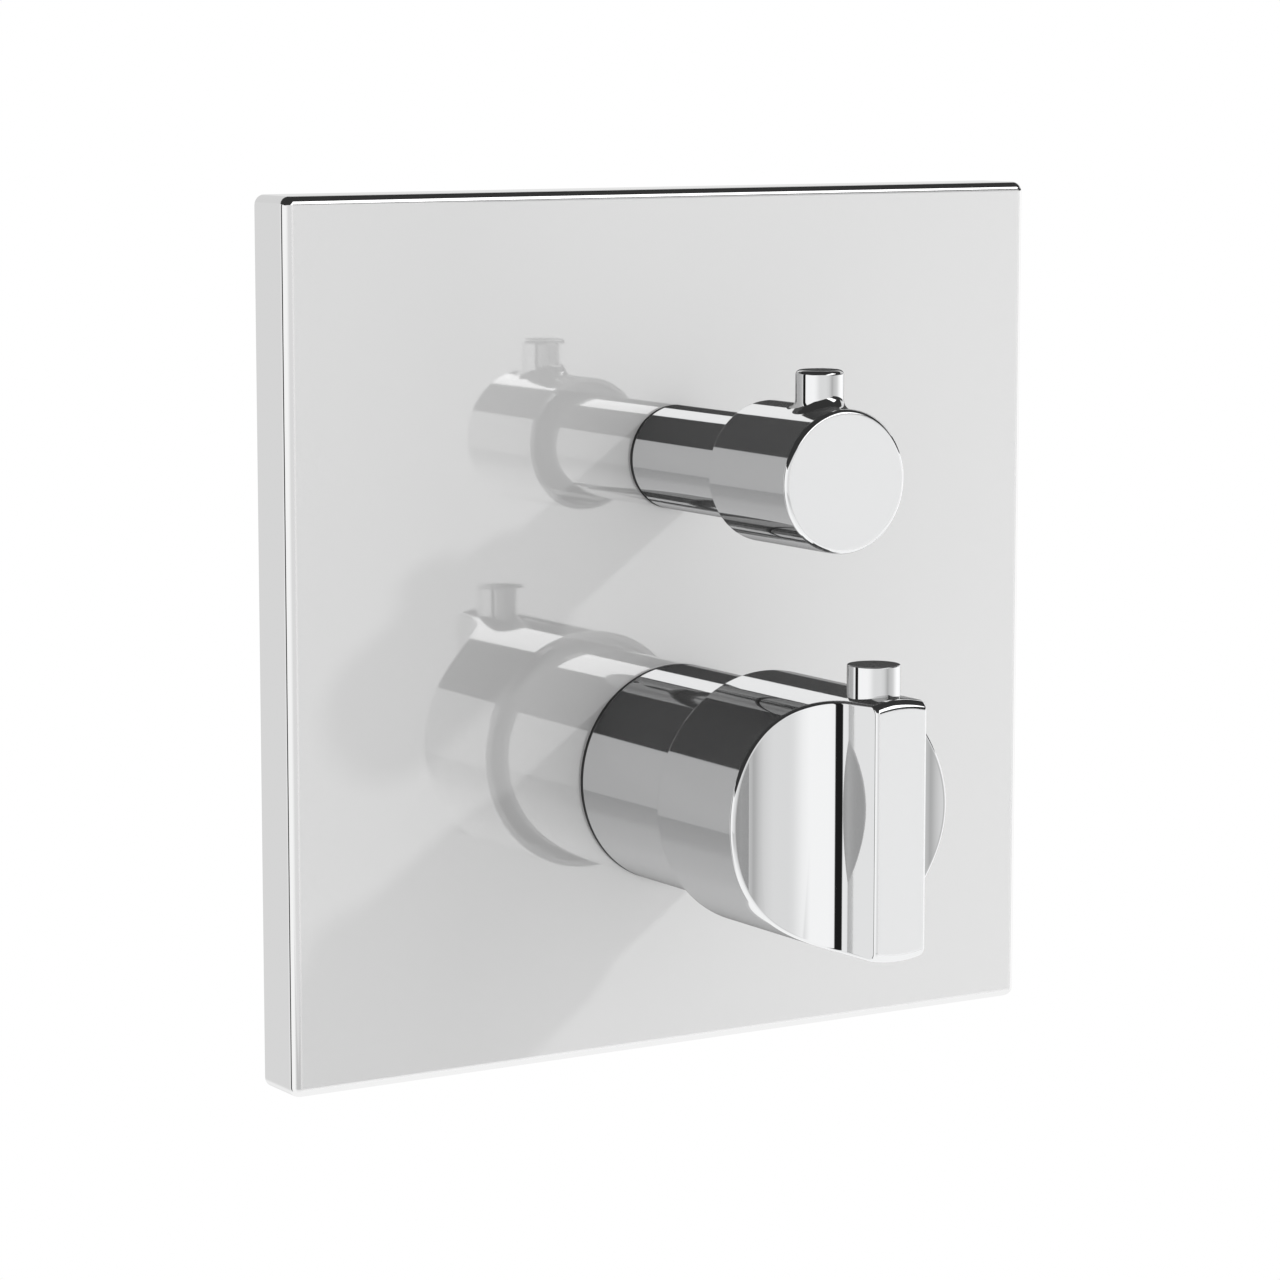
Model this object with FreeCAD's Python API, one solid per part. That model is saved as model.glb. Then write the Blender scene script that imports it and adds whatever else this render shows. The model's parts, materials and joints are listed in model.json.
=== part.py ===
import FreeCAD, Part
import math
import os

os.makedirs("parts", exist_ok=True)

# Concealed thermostatic shower valve with two knobs on a square wall plate.
# Millimetres. Origin: centre of the plate's back rim, on the finished wall. +Z up, +X to the
# right of someone facing the valve, +Y into the wall. Both control axes run along Y.

# ---- Driving dimensions -------------------------------------------------------------------
# Wall plate
plate_side = 170.0
plate_depth = 12.0
plate_skin = 1.6
plate_ledge = 4.4
corner_round = 2.0
edge_round = 1.5
seal_thickness = 4.0
seal_width = 4.2

# Control axes
flow_z = 32.8
thermostat_z = -29.8

# Flow knob, sleeve and grip pin
flow_knob_radius = 13.4
flow_knob_back = -45.0
flow_knob_length = 26.0
flow_knob_wall = 1.1
flow_knob_face = 5.0
flow_sleeve_radius = 10.2
flow_sleeve_wall = 1.3
flow_pin_radius = 4.5
flow_pin_height = 20.2
flow_pin_setback = 8.9
knob_edge_round = 1.0
pin_root_round = 2.4
pin_top_round = 0.9
pin_foot_depth = 3.0

# Thermostat handle, sleeve and safety button
handle_radius = 24.4
handle_back = -44.3
handle_length = 45.1
handle_wall = 1.5
handle_overhang = 2.8
handle_cavity_depth = 10.0
thermostat_sleeve_wall = 1.3
grip_half_width = 5.6
grip_draft = 6.3
scoop_radius = 13.5
scoop_centre_setback = 6.3
handle_front_round = 2.0
scoop_rim_round = 0.8
button_radius = 4.93
button_height = 29.9
button_setback = 9.25
button_travel = 2.5
button_edge_round = 0.2
button_cap_rise = 5.0
button_stem_radius = 2.4
button_spring_radius = 3.6
button_spring_wire = 0.5
button_spring_turns = 3
ledge_drop = 7.0
ledge_thickness = 2.0
latch_half_width = 2.1
latch_height = 3.0
latch_reach = 6.5

# How the knobs are held on their spindles
recess_clearance = 2.0
bush_radius = 8.0
screw_radius = 2.0
screw_socket_depth = 2.0
screw_sink = 0.6
handle_screw_length = 8.0
handle_screw_setback = 4.5
spindle_tip_gap = 0.5
spline_chamfer = 0.5

# Sleeves on the plate
ring_lip = 0.8
sleeve_overlap = 6.7
collar_length = 7.2

# Headwork of the flow control
flow_barrel_radius = 8.0
flow_thread_radius = 11.9
flow_hex = 24.0
flow_boss_front = 6.0
flow_spindle_radius = 5.0
flow_spline_radius = 4.0
disc_radius = 9.4
disc_thickness = 3.0
disc_seal_thickness = 1.5
port_circle = 5.6
port_radius = 2.6
flow_nut_thickness = 4.0
disc_setback = 6.0
driver_thickness = 3.0
skirt_gap = 0.5
skirt_clearance = 0.15
flow_thread_seal_setback = 2.0
flow_spindle_seal_depth = -8.0
channel_margin = 0.3
seal_cord = 1.1
seal_groove_width = 1.4

# Thermostatic cartridge
barrel_step = 3.6
thread_radius = 17.4
housing_hex_stand = 2.0
body_front = 4.0
hex_thickness = 3.5
barrel_front = -24.0
nose_radius = 12.0
nose_front = -50.0
spindle_radius = 6.0
spline_radius = 5.0
spindle_front = -72.0
nut_radius = 11.0
nut_thread_radius = 5.1
nut_front = 1.0
nut_length = 11.0
nut_flange = 1.0
key_width = 3.0
key_height = 1.4
spindle_shoulder = -4.0
thrust_collar_radius = 9.0
thrust_collar_thickness = 3.0
nut_thread_rest = 2.0
spindle_seal_depths = (-14.0, -18.0)
stop_ring_gap = 1.8
stop_ring_thickness = 6.0
lug_rise = 0.5
lug_setback = 1.0
lug_left = -10.0
lug_right = -3.0
overload_length = 6.5
overload_spring_radius = 7.2
overload_wire = 1.3
overload_turns = 3
overload_cup_bore = 9.2
overload_cap_thickness = 1.5
clip_thickness = 0.7
clip_groove_width = 0.8
clip_groove_depth = 0.7
clip_width = 1.6
clip_opening = 3.0
cup_lip = 1.2
housing_back = 15.0
cage_radius = 15.9
cage_bore = 13.0
cage_length = 42.4
seat_bore = 11.0
seat_width = 2.0
cold_seat_back = 28.5
cold_gap = 0.8
shuttle_length = 8.4
shuttle_rim = 1.4
shuttle_web = 2.5
shuttle_hub_wall = 1.8
shuttle_hub_setback = 1.7
shuttle_hub_length = 5.0
water_holes = 10
water_hole_radius = 1.2
hot_gap = 1.8
wax_radius = 5.0
wax_pin_radius = 1.8
wax_pin_length = 5.0
wax_guide_step = 1.5
wax_guide_gap = 1.0
wax_flange_step = 1.2
wax_flange_thickness = 1.5
wax_bulb_step = 0.4
wax_bulb_length = 10.0
return_spring_radius = 8.4
return_spring_wire = 1.3
return_spring_turns = 6
cage_floor_thickness = 3.0
cage_band_depth = 1.5
cage_windows = 8
window_width = 4.4
window_length = 2.0
cold_band_front = 2.5
cold_band_back = 3.0
hot_band_front = 4.0
hot_band_back = 2.0
outlet_band_length = 7.0
outlet_band_setback = 1.0
cold_seat_relief = 0.3
cage_cord = 1.8
cage_groove_width = 2.0

# Valve body behind the wall
body_wall = 4.5
inlet_depth = 33.5
socket_radius = 9.3
socket_length = 13.0
socket_wall = 3.7
top_reach = 76.0
bottom_reach = 78.0
upper_outlet_start = 8.0
lower_outlet_gap = 1.5
passage_radius = 4.2
passage_wall = 4.2
mixed_depth = 50.0
riser_foot = 10.0
riser_head = 9.0
riser_run_in = 3.0
bypass_wall = 4.8
bypass_foot = 9.0
bypass_head = 12.0
link_radius = 3.8
link_wall = 4.0
link_drop = 10.6
link_run_out = 2.0
seat_port_offset = 4.9
lower_passage_offset = 0.3
plug_length = 5.0
ring_port_spacing = 5.4
ring_port_run_in = 4.0
ring_port_run_out = 0.5
hot_port_offset = 1.1
cold_port_offset = 0.1
flow_body_wall = 4.0
flow_body_run = 10.0
bridge_left = 2.0
bridge_right = 1.0
bridge_back = 5.0
bridge_drop = 7.0
bridge_round = 3.0
boss_hex_length = 8.0
lower_boss_hex = 44.0
upper_boss_stand = 0.6
flange_thickness = 6.0
flange_depth = 38.0
bolt_spacing_x = 68.0
bolt_spacing_z = 36.0
bolt_centre_z = 14.0
bolt_hole_radius = 2.75
bolt_edge = 8.0
flange_round = 7.0

# Check valves and strainers in the inlets
check_radius = 7.5
check_length = 13.3
check_port_wall = 3.0
check_shelf_length = 2.5
check_end_gap = 0.2
check_shelf = 1.0
check_bore = 5.4
check_spider = 1.0
check_seat_setback = 5.4
check_seat_thickness = 1.5
check_seat_radius = 3.8
check_holes = 6
check_hole_radius = 0.9
check_hole_circle = 3.4
check_seal_setback = 4.0
check_cord = 1.0
check_groove_width = 1.2
poppet_thickness = 1.4
poppet_gap = 0.6
poppet_stem_radius = 1.0
poppet_stem_setback = 0.3
check_spring_radius = 2.2
check_spring_wire = 0.45
check_spring_turns = 4
strainer_bore = 6.2
strainer_setback = 0.4
strainer_wall = 0.75
strainer_floor = 0.8
strainer_hole_radius = 0.5
strainer_circles = (1.6, 3.0)
strainer_holes = 6

# Clearances, measured on the radius
thread_gap = 0.10
running_gap = 0.05
loose_gap = 0.3
seat_gap = 0.02
latch_gap = 0.2
lug_gap = 0.4
drill_past = 1.0
cut_past = 2.0

# ---- Derived places -----------------------------------------------------------------------
half = plate_side / 2
thermostat_sleeve_radius = handle_radius - handle_overhang
barrel_radius = thermostat_sleeve_radius - barrel_step
housing_hex = 2 * (barrel_radius + housing_hex_stand)
plate_front = -plate_depth
sleeve_back = plate_front - ring_lip
collar_front = sleeve_back - collar_length
flow_knob_front = flow_knob_back - flow_knob_length
handle_front = handle_back - handle_length
button_y = handle_front + button_setback
chamber_radius = cage_radius + thread_gap
cage_back = housing_back + cage_length
chamber_floor = cage_back + thread_gap
cold_seat_front = cold_seat_back - seat_width
shuttle_front = cold_seat_back + cold_gap
shuttle_back = shuttle_front + shuttle_length
hot_seat_front = shuttle_back + hot_gap
body_radius = chamber_radius + body_wall
flow_chamber_radius = flow_thread_radius + thread_gap
body_back = chamber_floor + body_wall
check_floor = chamber_radius + check_port_wall
check_shoulder = check_floor + check_shelf_length
check_outer_end = check_shoulder + check_length
inlet_reach = check_outer_end + check_end_gap + socket_length
bypass_depth = chamber_floor + bypass_wall + passage_radius

V = FreeCAD.Vector
X_AXIS, Y_AXIS, Z_AXIS = V(1, 0, 0), V(0, 1, 0), V(0, 0, 1)


# ---- Shape helpers ------------------------------------------------------------------------
def rod_y(radius, front, back, x=0.0, z=0.0):
    """Solid round bar along Y between two depths."""
    return Part.makeCylinder(radius, back - front, V(x, front, z), Y_AXIS)


def rod_x(radius, left, right, y=0.0, z=0.0):
    """Solid round bar along X."""
    return Part.makeCylinder(radius, right - left, V(left, y, z), X_AXIS)


def rod_z(radius, bottom, top, x=0.0, y=0.0):
    """Solid round bar along Z."""
    return Part.makeCylinder(radius, top - bottom, V(x, y, bottom), Z_AXIS)


def block(x0, x1, y0, y1, z0, z1):
    """Box between two opposite corners."""
    return Part.makeBox(x1 - x0, y1 - y0, z1 - z0, V(x0, y0, z0))


def turned(profile, z=0.0):
    """Turned piece: a closed outline of (depth, radius) points spun about the Y axis."""
    points = [V(radius, depth, 0) for depth, radius in profile]
    face = Part.Face(Part.makePolygon(points + points[:1]))
    solid = face.revolve(V(0, 0, 0), Y_AXIS, 360)
    solid.translate(V(0, 0, z))
    return solid


def hexagon(across_flats, front, back, z=0.0):
    """Hexagonal prism along Y, flats up and down."""
    corner = across_flats / math.sqrt(3)
    points = [V(corner * math.cos(math.radians(60 * i)), front,
                z + corner * math.sin(math.radians(60 * i))) for i in range(6)]
    face = Part.Face(Part.makePolygon(points + points[:1]))
    return face.extrude(V(0, back - front, 0))


def ring_groove(shaft, floor, middle, width, z):
    """Groove round a shaft or barrel along Y, as a ring to cut from it."""
    front, back = middle - width / 2, middle + width / 2
    return rod_y(shaft + cut_past, front, back, 0, z).cut(rod_y(floor, front, back, 0, z))


def o_ring(outer_radius, cord, centre, axis):
    """Rubber ring: torus whose outer radius and cord thickness are given."""
    return Part.makeTorus(outer_radius - cord / 2, cord / 2, centre, axis)


def rounded(solid, radius, wanted):
    """Fillet the edges that the test picks."""
    edges = [edge for edge in solid.Edges if wanted(edge)]
    return solid.makeFillet(radius, edges)


def arc_through(start, tangent, end):
    """Circular arc from start, leaving along tangent, to end."""
    chord = end - start
    along = V(chord).normalize()
    side = tangent - along * tangent.dot(along)
    if side.Length < 1e-9:
        return Part.LineSegment(start, end).toShape()
    side.normalize()
    turn = tangent.getAngle(chord)
    middle = start + chord * 0.5 + side * (chord.Length / 2 * math.tan(turn / 2))
    return Part.Arc(start, middle, end).toShape()


def coil(mean_radius, wire, length, turns, origin, axis):
    """Compression spring: one unbroken wire on quarter-turn biarcs, along an axis.

    The wire's middle runs from wire/2 to length - wire/2, so its outside touches both seats.
    """
    rise = length - wire
    steps = int(round(turns * 4))
    pitch_angle = 2 * math.pi * turns / steps
    slope = rise / (2 * math.pi * turns)

    def place(i):
        angle = i * pitch_angle
        return V(mean_radius * math.cos(angle), mean_radius * math.sin(angle),
                 wire / 2 + slope * angle)

    def heading(i):
        angle = i * pitch_angle
        return V(-mean_radius * math.sin(angle), mean_radius * math.cos(angle),
                 slope).normalize()

    edges = []
    for i in range(steps):
        start, end = place(i), place(i + 1)
        out, arrive = heading(i), heading(i + 1)
        chord = end - start
        reach = biarc_reach(chord, out, arrive)
        joint = (start + out * reach + end - arrive * reach) * 0.5
        middle_heading = (end - arrive * reach) - (start + out * reach)
        middle_heading.normalize()
        edges.append(arc_through(start, out, joint))
        edges.append(arc_through(joint, middle_heading, end))
    section = Part.Wire(Part.makeCircle(wire / 2, place(0), heading(0)))
    solid = Part.Wire(edges).makePipeShell([section], True, False)
    gap = rise / turns - wire
    print("spring: %.1f turns, least gap between turns %.2f mm" % (turns, gap))
    turn = FreeCAD.Rotation(Z_AXIS, axis)
    solid.Placement = FreeCAD.Placement(origin, turn)
    return solid


def biarc_reach(chord, out, arrive):
    """Equal tangent length of the biarc that joins two headings across a chord."""
    both = out + arrive
    a = both.dot(both) - 4
    b = -2 * chord.dot(both)
    c = chord.dot(chord)
    return (-b - math.sqrt(b * b - 4 * a * c)) / (2 * a)


def save(name, *solids):
    """Write one named sub-part."""
    shape = solids[0] if len(solids) == 1 else Part.makeCompound(list(solids))
    assert shape.isValid(), name
    found = len(shape.Solids)
    assert found == len(solids), "%s has %d solids" % (name, found)
    shape.exportStep("parts/%s.step" % name)
    print("%-26s %9.1f mm3" % (name, shape.Volume))


# ---- Wall plate and its seal --------------------------------------------------------------
pocket_half = half - plate_skin
cavity_half = pocket_half - plate_ledge
flow_hole_radius = flow_barrel_radius + loose_gap
thermostat_hole_radius = barrel_radius + loose_gap

plate = block(-half, half, plate_front, 0, -half, half)
plate = rounded(plate, corner_round, lambda e: abs(e.tangentAt(e.FirstParameter).y) > 0.9)
plate = rounded(plate, edge_round, lambda e: abs(e.BoundBox.YMax - plate_front) < 1e-6)
plate = plate.cut(block(-pocket_half, pocket_half, -seal_thickness, 0,
                        -pocket_half, pocket_half))
plate = plate.cut(block(-cavity_half, cavity_half, plate_front + plate_skin, 0,
                        -cavity_half, cavity_half))
plate = plate.cut(rod_y(flow_hole_radius, plate_front, 0, 0, flow_z))
plate = plate.cut(rod_y(thermostat_hole_radius, plate_front, 0, 0, thermostat_z))
save("wall_plate", plate)

seal_hole = pocket_half - seal_width
seal = block(-pocket_half, pocket_half, -seal_thickness, 0, -pocket_half, pocket_half)
seal = seal.cut(block(-seal_hole, seal_hole, -seal_thickness, 0, -seal_hole, seal_hole))
save("plate_seal", seal)


# ---- Sleeves, screwed on the headworks, and the black rings they press on the plate --------
def sleeve(radius, wall, barrel, front, z):
    """Chromed tube with a threaded collar at the plate end."""
    bore = radius - wall
    collar_bore = barrel + thread_gap
    return turned([(sleeve_back, collar_bore), (sleeve_back, radius), (front + wall / 2, radius),
                   (front, radius - wall / 2), (front, bore), (collar_front, bore),
                   (collar_front, collar_bore)], z)


def sleeve_ring(radius, barrel, hole, z):
    """Rubber ring: a lip under the sleeve and a spigot that centres it in the plate's hole."""
    bore = barrel + thread_gap
    spigot_back = plate_front + plate_skin
    return turned([(sleeve_back, bore), (sleeve_back, radius), (plate_front, radius),
                   (plate_front, hole), (spigot_back, hole), (spigot_back, bore)], z)


flow_sleeve_front = flow_knob_back - sleeve_overlap
thermostat_sleeve_front = handle_back - sleeve_overlap
save("flow_sleeve", sleeve(flow_sleeve_radius, flow_sleeve_wall, flow_barrel_radius,
                           flow_sleeve_front, flow_z))
save("flow_sleeve_ring", sleeve_ring(flow_sleeve_radius, flow_barrel_radius,
                                     flow_hole_radius, flow_z))
save("thermostat_sleeve", sleeve(thermostat_sleeve_radius, thermostat_sleeve_wall,
                                 barrel_radius, thermostat_sleeve_front, thermostat_z))
save("thermostat_sleeve_ring", sleeve_ring(thermostat_sleeve_radius, barrel_radius,
                                           thermostat_hole_radius, thermostat_z))

# ---- Flow knob: one casting with its grip pin, on a splined plastic bush -------------------
recess_depth = sleeve_overlap + recess_clearance
knob_bore_radius = flow_knob_radius - flow_knob_wall
knob_recess_front = flow_knob_back - recess_depth
knob_bore_front = flow_knob_front + flow_knob_face
flow_pin_y = flow_knob_front + flow_pin_setback
knob_screw_y = (knob_recess_front + knob_bore_front) / 2

knob = rod_y(flow_knob_radius, flow_knob_front, flow_knob_back, 0, flow_z)
knob = rounded(knob, knob_edge_round, lambda e: abs(e.BoundBox.YMax - flow_knob_front) < 1e-6)
knob = rounded(knob, flow_knob_wall / 4, lambda e: abs(e.BoundBox.YMin - flow_knob_back) < 1e-6)
pin_foot = flow_z + flow_knob_radius - pin_foot_depth
pin = rod_z(flow_pin_radius, pin_foot, flow_z + flow_pin_height, 0, flow_pin_y)
pin = rounded(pin, pin_top_round, lambda e: e.BoundBox.ZMin > flow_z + flow_knob_radius)
knob = knob.fuse(pin)
knob = rounded(knob, pin_root_round,
               lambda e: e.BoundBox.ZMin > pin_foot + 0.5
               and e.BoundBox.ZMax < flow_z + flow_knob_radius + 0.1
               and e.BoundBox.XLength < 2 * flow_pin_radius + 0.1
               and abs(e.BoundBox.Center.y - flow_pin_y) < flow_pin_radius
               and e.BoundBox.YLength > flow_pin_radius)
knob = knob.cut(rod_y(knob_bore_radius, knob_recess_front, flow_knob_back, 0, flow_z))
knob = knob.cut(rod_y(bush_radius + running_gap, knob_bore_front, knob_recess_front, 0, flow_z))
knob = knob.cut(rod_z(screw_radius + thread_gap, flow_z - flow_knob_radius, flow_z, 0,
                      knob_screw_y))
save("flow_knob", knob)


def splined_bush(front, back, radius, bore, z):
    """Plastic bush between a knob and its spindle."""
    bush = rod_y(radius, front, back, 0, z)
    return bush.cut(rod_y(bore, front, back, 0, z))


def grub_screw(tip, head, y):
    """Headless screw with a hexagon socket, driven upwards from under the knob."""
    screw = rod_z(screw_radius, head, tip, 0, y)
    socket = hexagon(screw_radius, 0, screw_socket_depth)
    socket.rotate(V(0, 0, 0), X_AXIS, 90)
    socket.translate(V(0, y, head))
    return screw.cut(socket)


save("flow_knob_bush", splined_bush(knob_bore_front, knob_recess_front, bush_radius,
                                    flow_spline_radius + running_gap, flow_z))
save("flow_knob_screw", grub_screw(flow_z - bush_radius, flow_z - flow_knob_radius + screw_sink,
                                   knob_screw_y))

# ---- Thermostat handle: cylinder with two scoops that leave a grip bar ---------------------
scoop_y = handle_front + scoop_centre_setback
draft = math.radians(grip_draft)


def scoop(side):
    """Cutter for one scoop: a concave arc that runs into the drafted side of the grip bar."""
    outside = handle_radius + cut_past
    centre_x = scoop_centre_x
    rim_drop = math.sqrt(scoop_radius ** 2 - (outside - centre_x) ** 2)
    rim_angle = math.pi - math.atan2(rim_drop, outside - centre_x)

    def on_arc(angle):
        return V(centre_x - scoop_radius * math.cos(angle),
                 scoop_y + scoop_radius * math.sin(angle), 0)

    arc_end, arc_middle, arc_start = [on_arc(a) for a in (draft, (draft + rim_angle) / 2,
                                                          rim_angle)]
    front = handle_front - cut_past
    nose = V(grip_half_width - cut_past * math.tan(draft), front, 0)
    corner = V(outside, front, 0)
    outline = Part.Wire([Part.LineSegment(nose, arc_end).toShape(),
                         Part.Arc(arc_end, arc_middle, arc_start).toShape(),
                         Part.LineSegment(arc_start, corner).toShape(),
                         Part.LineSegment(corner, nose).toShape()])
    tall = 2 * (handle_radius + cut_past)
    cutter = Part.Face(outline).extrude(V(0, 0, tall))
    cutter.translate(V(0, 0, thermostat_z - tall / 2))
    return cutter if side > 0 else cutter.mirror(V(0, 0, 0), X_AXIS)


# The arc leaves the bar's drafted side tangentially, which fixes the scoop's centre.
scoop_centre_x = (grip_half_width + scoop_radius * math.cos(draft)
                  + (scoop_centre_setback + scoop_radius * math.sin(draft)) * math.tan(draft))

ledge_top = thermostat_z + handle_radius - ledge_drop
ledge_bottom = ledge_top - ledge_thickness
button_hole_radius = button_radius + running_gap
latch_top = ledge_bottom - latch_gap
latch_bottom = latch_top - latch_height
stop_ring_radius = thermostat_sleeve_radius - thermostat_sleeve_wall - stop_ring_gap
handle_recess_front = handle_back - recess_depth
handle_cavity_radius = stop_ring_radius + lug_setback
handle_cavity_front = handle_recess_front - handle_cavity_depth
handle_bore_front = spindle_front - spindle_tip_gap
handle_screw_y = handle_cavity_front - handle_screw_setback

handle = rod_y(handle_radius, handle_front, handle_back, 0, thermostat_z)
handle = rounded(handle, handle_front_round, lambda e: abs(e.BoundBox.YMax - handle_front) < 1e-6)
handle = handle.cut(scoop(1)).cut(scoop(-1))


def on_scoop_rim(edge):
    """True for the edges where the scoops cut the turned cylinder and its rounded front."""
    box = edge.BoundBox
    in_bar = box.XMin < grip_half_width - cut_past and box.XMax > cut_past - grip_half_width
    if in_bar or box.YMin > handle_back - cut_past:
        return False
    return box.XLength > 1e-4 or abs(box.YMax - handle_front) < 1e-4


handle = rounded(handle, scoop_rim_round, on_scoop_rim)
handle = rounded(handle, handle_wall / 4, lambda e: abs(e.BoundBox.YMin - handle_back) < 1e-6)
handle = handle.cut(rod_y(handle_radius - handle_wall, handle_recess_front, handle_back, 0,
                          thermostat_z))
handle = handle.cut(rod_y(handle_cavity_radius, handle_cavity_front, handle_recess_front, 0,
                          thermostat_z))
handle = handle.cut(rod_y(bush_radius + running_gap, handle_bore_front, handle_cavity_front, 0,
                          thermostat_z))
handle = handle.cut(rod_z(button_hole_radius, ledge_top,
                          thermostat_z + handle_radius + cut_past, 0, button_y))
handle = handle.cut(rod_z(button_stem_radius + running_gap, latch_bottom, ledge_top, 0, button_y))
slot_half = latch_half_width + loose_gap
slot_front = button_y - button_stem_radius - loose_gap
handle = handle.cut(block(-slot_half, slot_half, slot_front, handle_cavity_front,
                          latch_bottom - button_travel - loose_gap, ledge_bottom))
handle = handle.cut(rod_z(screw_radius + thread_gap, thermostat_z - handle_radius,
                          thermostat_z, 0, handle_screw_y))
save("thermostat_handle", handle)
save("thermostat_handle_bush", splined_bush(spindle_front, handle_cavity_front, bush_radius,
                                            spline_radius + running_gap, thermostat_z))
save("thermostat_handle_screw", grub_screw(thermostat_z - bush_radius,
                                           thermostat_z - bush_radius - handle_screw_length,
                                           handle_screw_y))

# ---- Safety button: cap and stem, with a latch finger that meets the stop ring -------------
cap_bottom = ledge_top + button_cap_rise
latch_back = nose_front - latch_reach
button = rod_z(button_radius, cap_bottom, thermostat_z + button_height, 0, button_y)
button = rounded(button, button_edge_round,
                 lambda e: e.BoundBox.ZMin > thermostat_z + button_height - button_edge_round)
button = button.fuse(rod_z(button_stem_radius, latch_top, cap_bottom, 0, button_y)).removeSplitter()
save("safety_button", button)

latch = block(-latch_half_width, latch_half_width, button_y - button_stem_radius, latch_back,
              latch_bottom, latch_top)
save("safety_button_latch", latch)
save("safety_button_spring", coil(button_spring_radius, button_spring_wire,
                                  cap_bottom - ledge_top, button_spring_turns,
                                  V(0, button_y, ledge_top), Z_AXIS))

# ---- Temperature stop ring on the cartridge's nose ----------------------------------------
stop_ring_back = nose_front + stop_ring_thickness
lug_front = latch_back + lug_gap
lug_inner, lug_outer = nose_radius + lug_rise, stop_ring_radius - lug_setback
stop_ring = turned([(nose_front, nose_radius + running_gap), (nose_front, stop_ring_radius),
                    (stop_ring_back, stop_ring_radius),
                    (stop_ring_back, nose_radius + running_gap)], thermostat_z)
lug = rod_y(lug_outer, lug_front, nose_front, 0, thermostat_z)
lug = lug.cut(rod_y(lug_inner, lug_front, nose_front, 0, thermostat_z))
lug = lug.common(block(lug_left, lug_right, lug_front, nose_front, thermostat_z,
                       thermostat_z + lug_outer))
save("temperature_stop_ring", stop_ring.fuse(lug))

# ---- Thermostatic cartridge ---------------------------------------------------------------
guide_radius = nut_radius + thread_gap
seal_squeeze = running_gap / 2
seal_floor = seal_cord - seal_squeeze + running_gap

housing = turned([(nose_front, 0), (nose_front, nose_radius), (barrel_front, nose_radius),
                  (barrel_front, barrel_radius), (body_front, barrel_radius),
                  (body_front, thread_radius), (housing_back, thread_radius),
                  (housing_back, 0)], thermostat_z)
housing = housing.fuse(hexagon(housing_hex, body_front - hex_thickness, body_front,
                               thermostat_z))
housing = housing.cut(rod_y(spindle_radius + running_gap, nose_front, housing_back, 0,
                            thermostat_z))
housing = housing.cut(rod_y(guide_radius, spindle_shoulder, housing_back, 0, thermostat_z))
keyway_half = key_width / 2 + thread_gap
keyway_reach = nut_radius + key_height + thread_gap
housing = housing.cut(block(-keyway_reach, keyway_reach, spindle_shoulder, housing_back,
                            thermostat_z - keyway_half, thermostat_z + keyway_half))
save("thermostat_housing", housing)

thrust_back = spindle_shoulder + thrust_collar_thickness
thread_back = nut_front + nut_length - nut_thread_rest
spindle = turned([(spindle_front, 0), (spindle_front, spline_radius - spline_chamfer),
                  (spindle_front + spline_chamfer, spline_radius), (nose_front, spline_radius),
                  (nose_front, spindle_radius), (spindle_shoulder + running_gap, spindle_radius),
                  (spindle_shoulder + running_gap, thrust_collar_radius),
                  (thrust_back, thrust_collar_radius),
                  (thrust_back, nut_thread_radius - thread_gap),
                  (thread_back, nut_thread_radius - thread_gap), (thread_back, 0)],
                 thermostat_z)
rings = []
for place_y in spindle_seal_depths:
    spindle = spindle.cut(ring_groove(spindle_radius, spindle_radius - seal_floor, place_y,
                                      seal_groove_width, thermostat_z))
    rings.append(o_ring(spindle_radius + seal_squeeze, seal_cord,
                        V(0, place_y, thermostat_z), Y_AXIS))
save("thermostat_spindle", spindle)
save("thermostat_spindle_seals", *rings)

# Regulating nut: the spindle's screw moves it along, two keys stop it from turning.
nut_back = nut_front + nut_length
cap_front = nut_back + overload_length
cap_back = cap_front + overload_cap_thickness
cup_back = cap_back + cup_lip
clip_groove = overload_cup_bore + clip_groove_depth
groove_back = cap_back + clip_groove_width
nut = turned([(nut_front, nut_thread_radius), (nut_front, nut_radius), (cup_back, nut_radius),
              (cup_back, overload_cup_bore), (groove_back, overload_cup_bore),
              (groove_back, clip_groove), (cap_back, clip_groove),
              (cap_back, overload_cup_bore), (nut_back, overload_cup_bore),
              (nut_back, nut_thread_radius)], thermostat_z)
keys = block(-nut_radius - key_height, nut_radius + key_height, nut_front + nut_flange,
             nut_back, thermostat_z - key_width / 2, thermostat_z + key_width / 2)
keys = keys.cut(rod_y(nut_radius - nut_flange, nut_front, nut_back, 0, thermostat_z))
save("regulating_nut", nut.fuse(keys).removeSplitter())
save("overload_spring", coil(overload_spring_radius, overload_wire, overload_length,
                             overload_turns, V(0, nut_back, thermostat_z), Y_AXIS))
cap = rod_y(overload_cup_bore - thread_gap, cap_front, cap_back, 0, thermostat_z)
save("overload_cap", cap)
clip_back = cap_back + clip_thickness
clip = turned([(cap_back, overload_cup_bore - clip_width),
               (cap_back, clip_groove - running_gap), (clip_back, clip_groove - running_gap),
               (clip_back, overload_cup_bore - clip_width)], thermostat_z)
clip = clip.cut(block(-clip_opening / 2, clip_opening / 2, cap_back, clip_back,
                      thermostat_z - clip_groove, thermostat_z))
save("overload_clip", clip)

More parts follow.
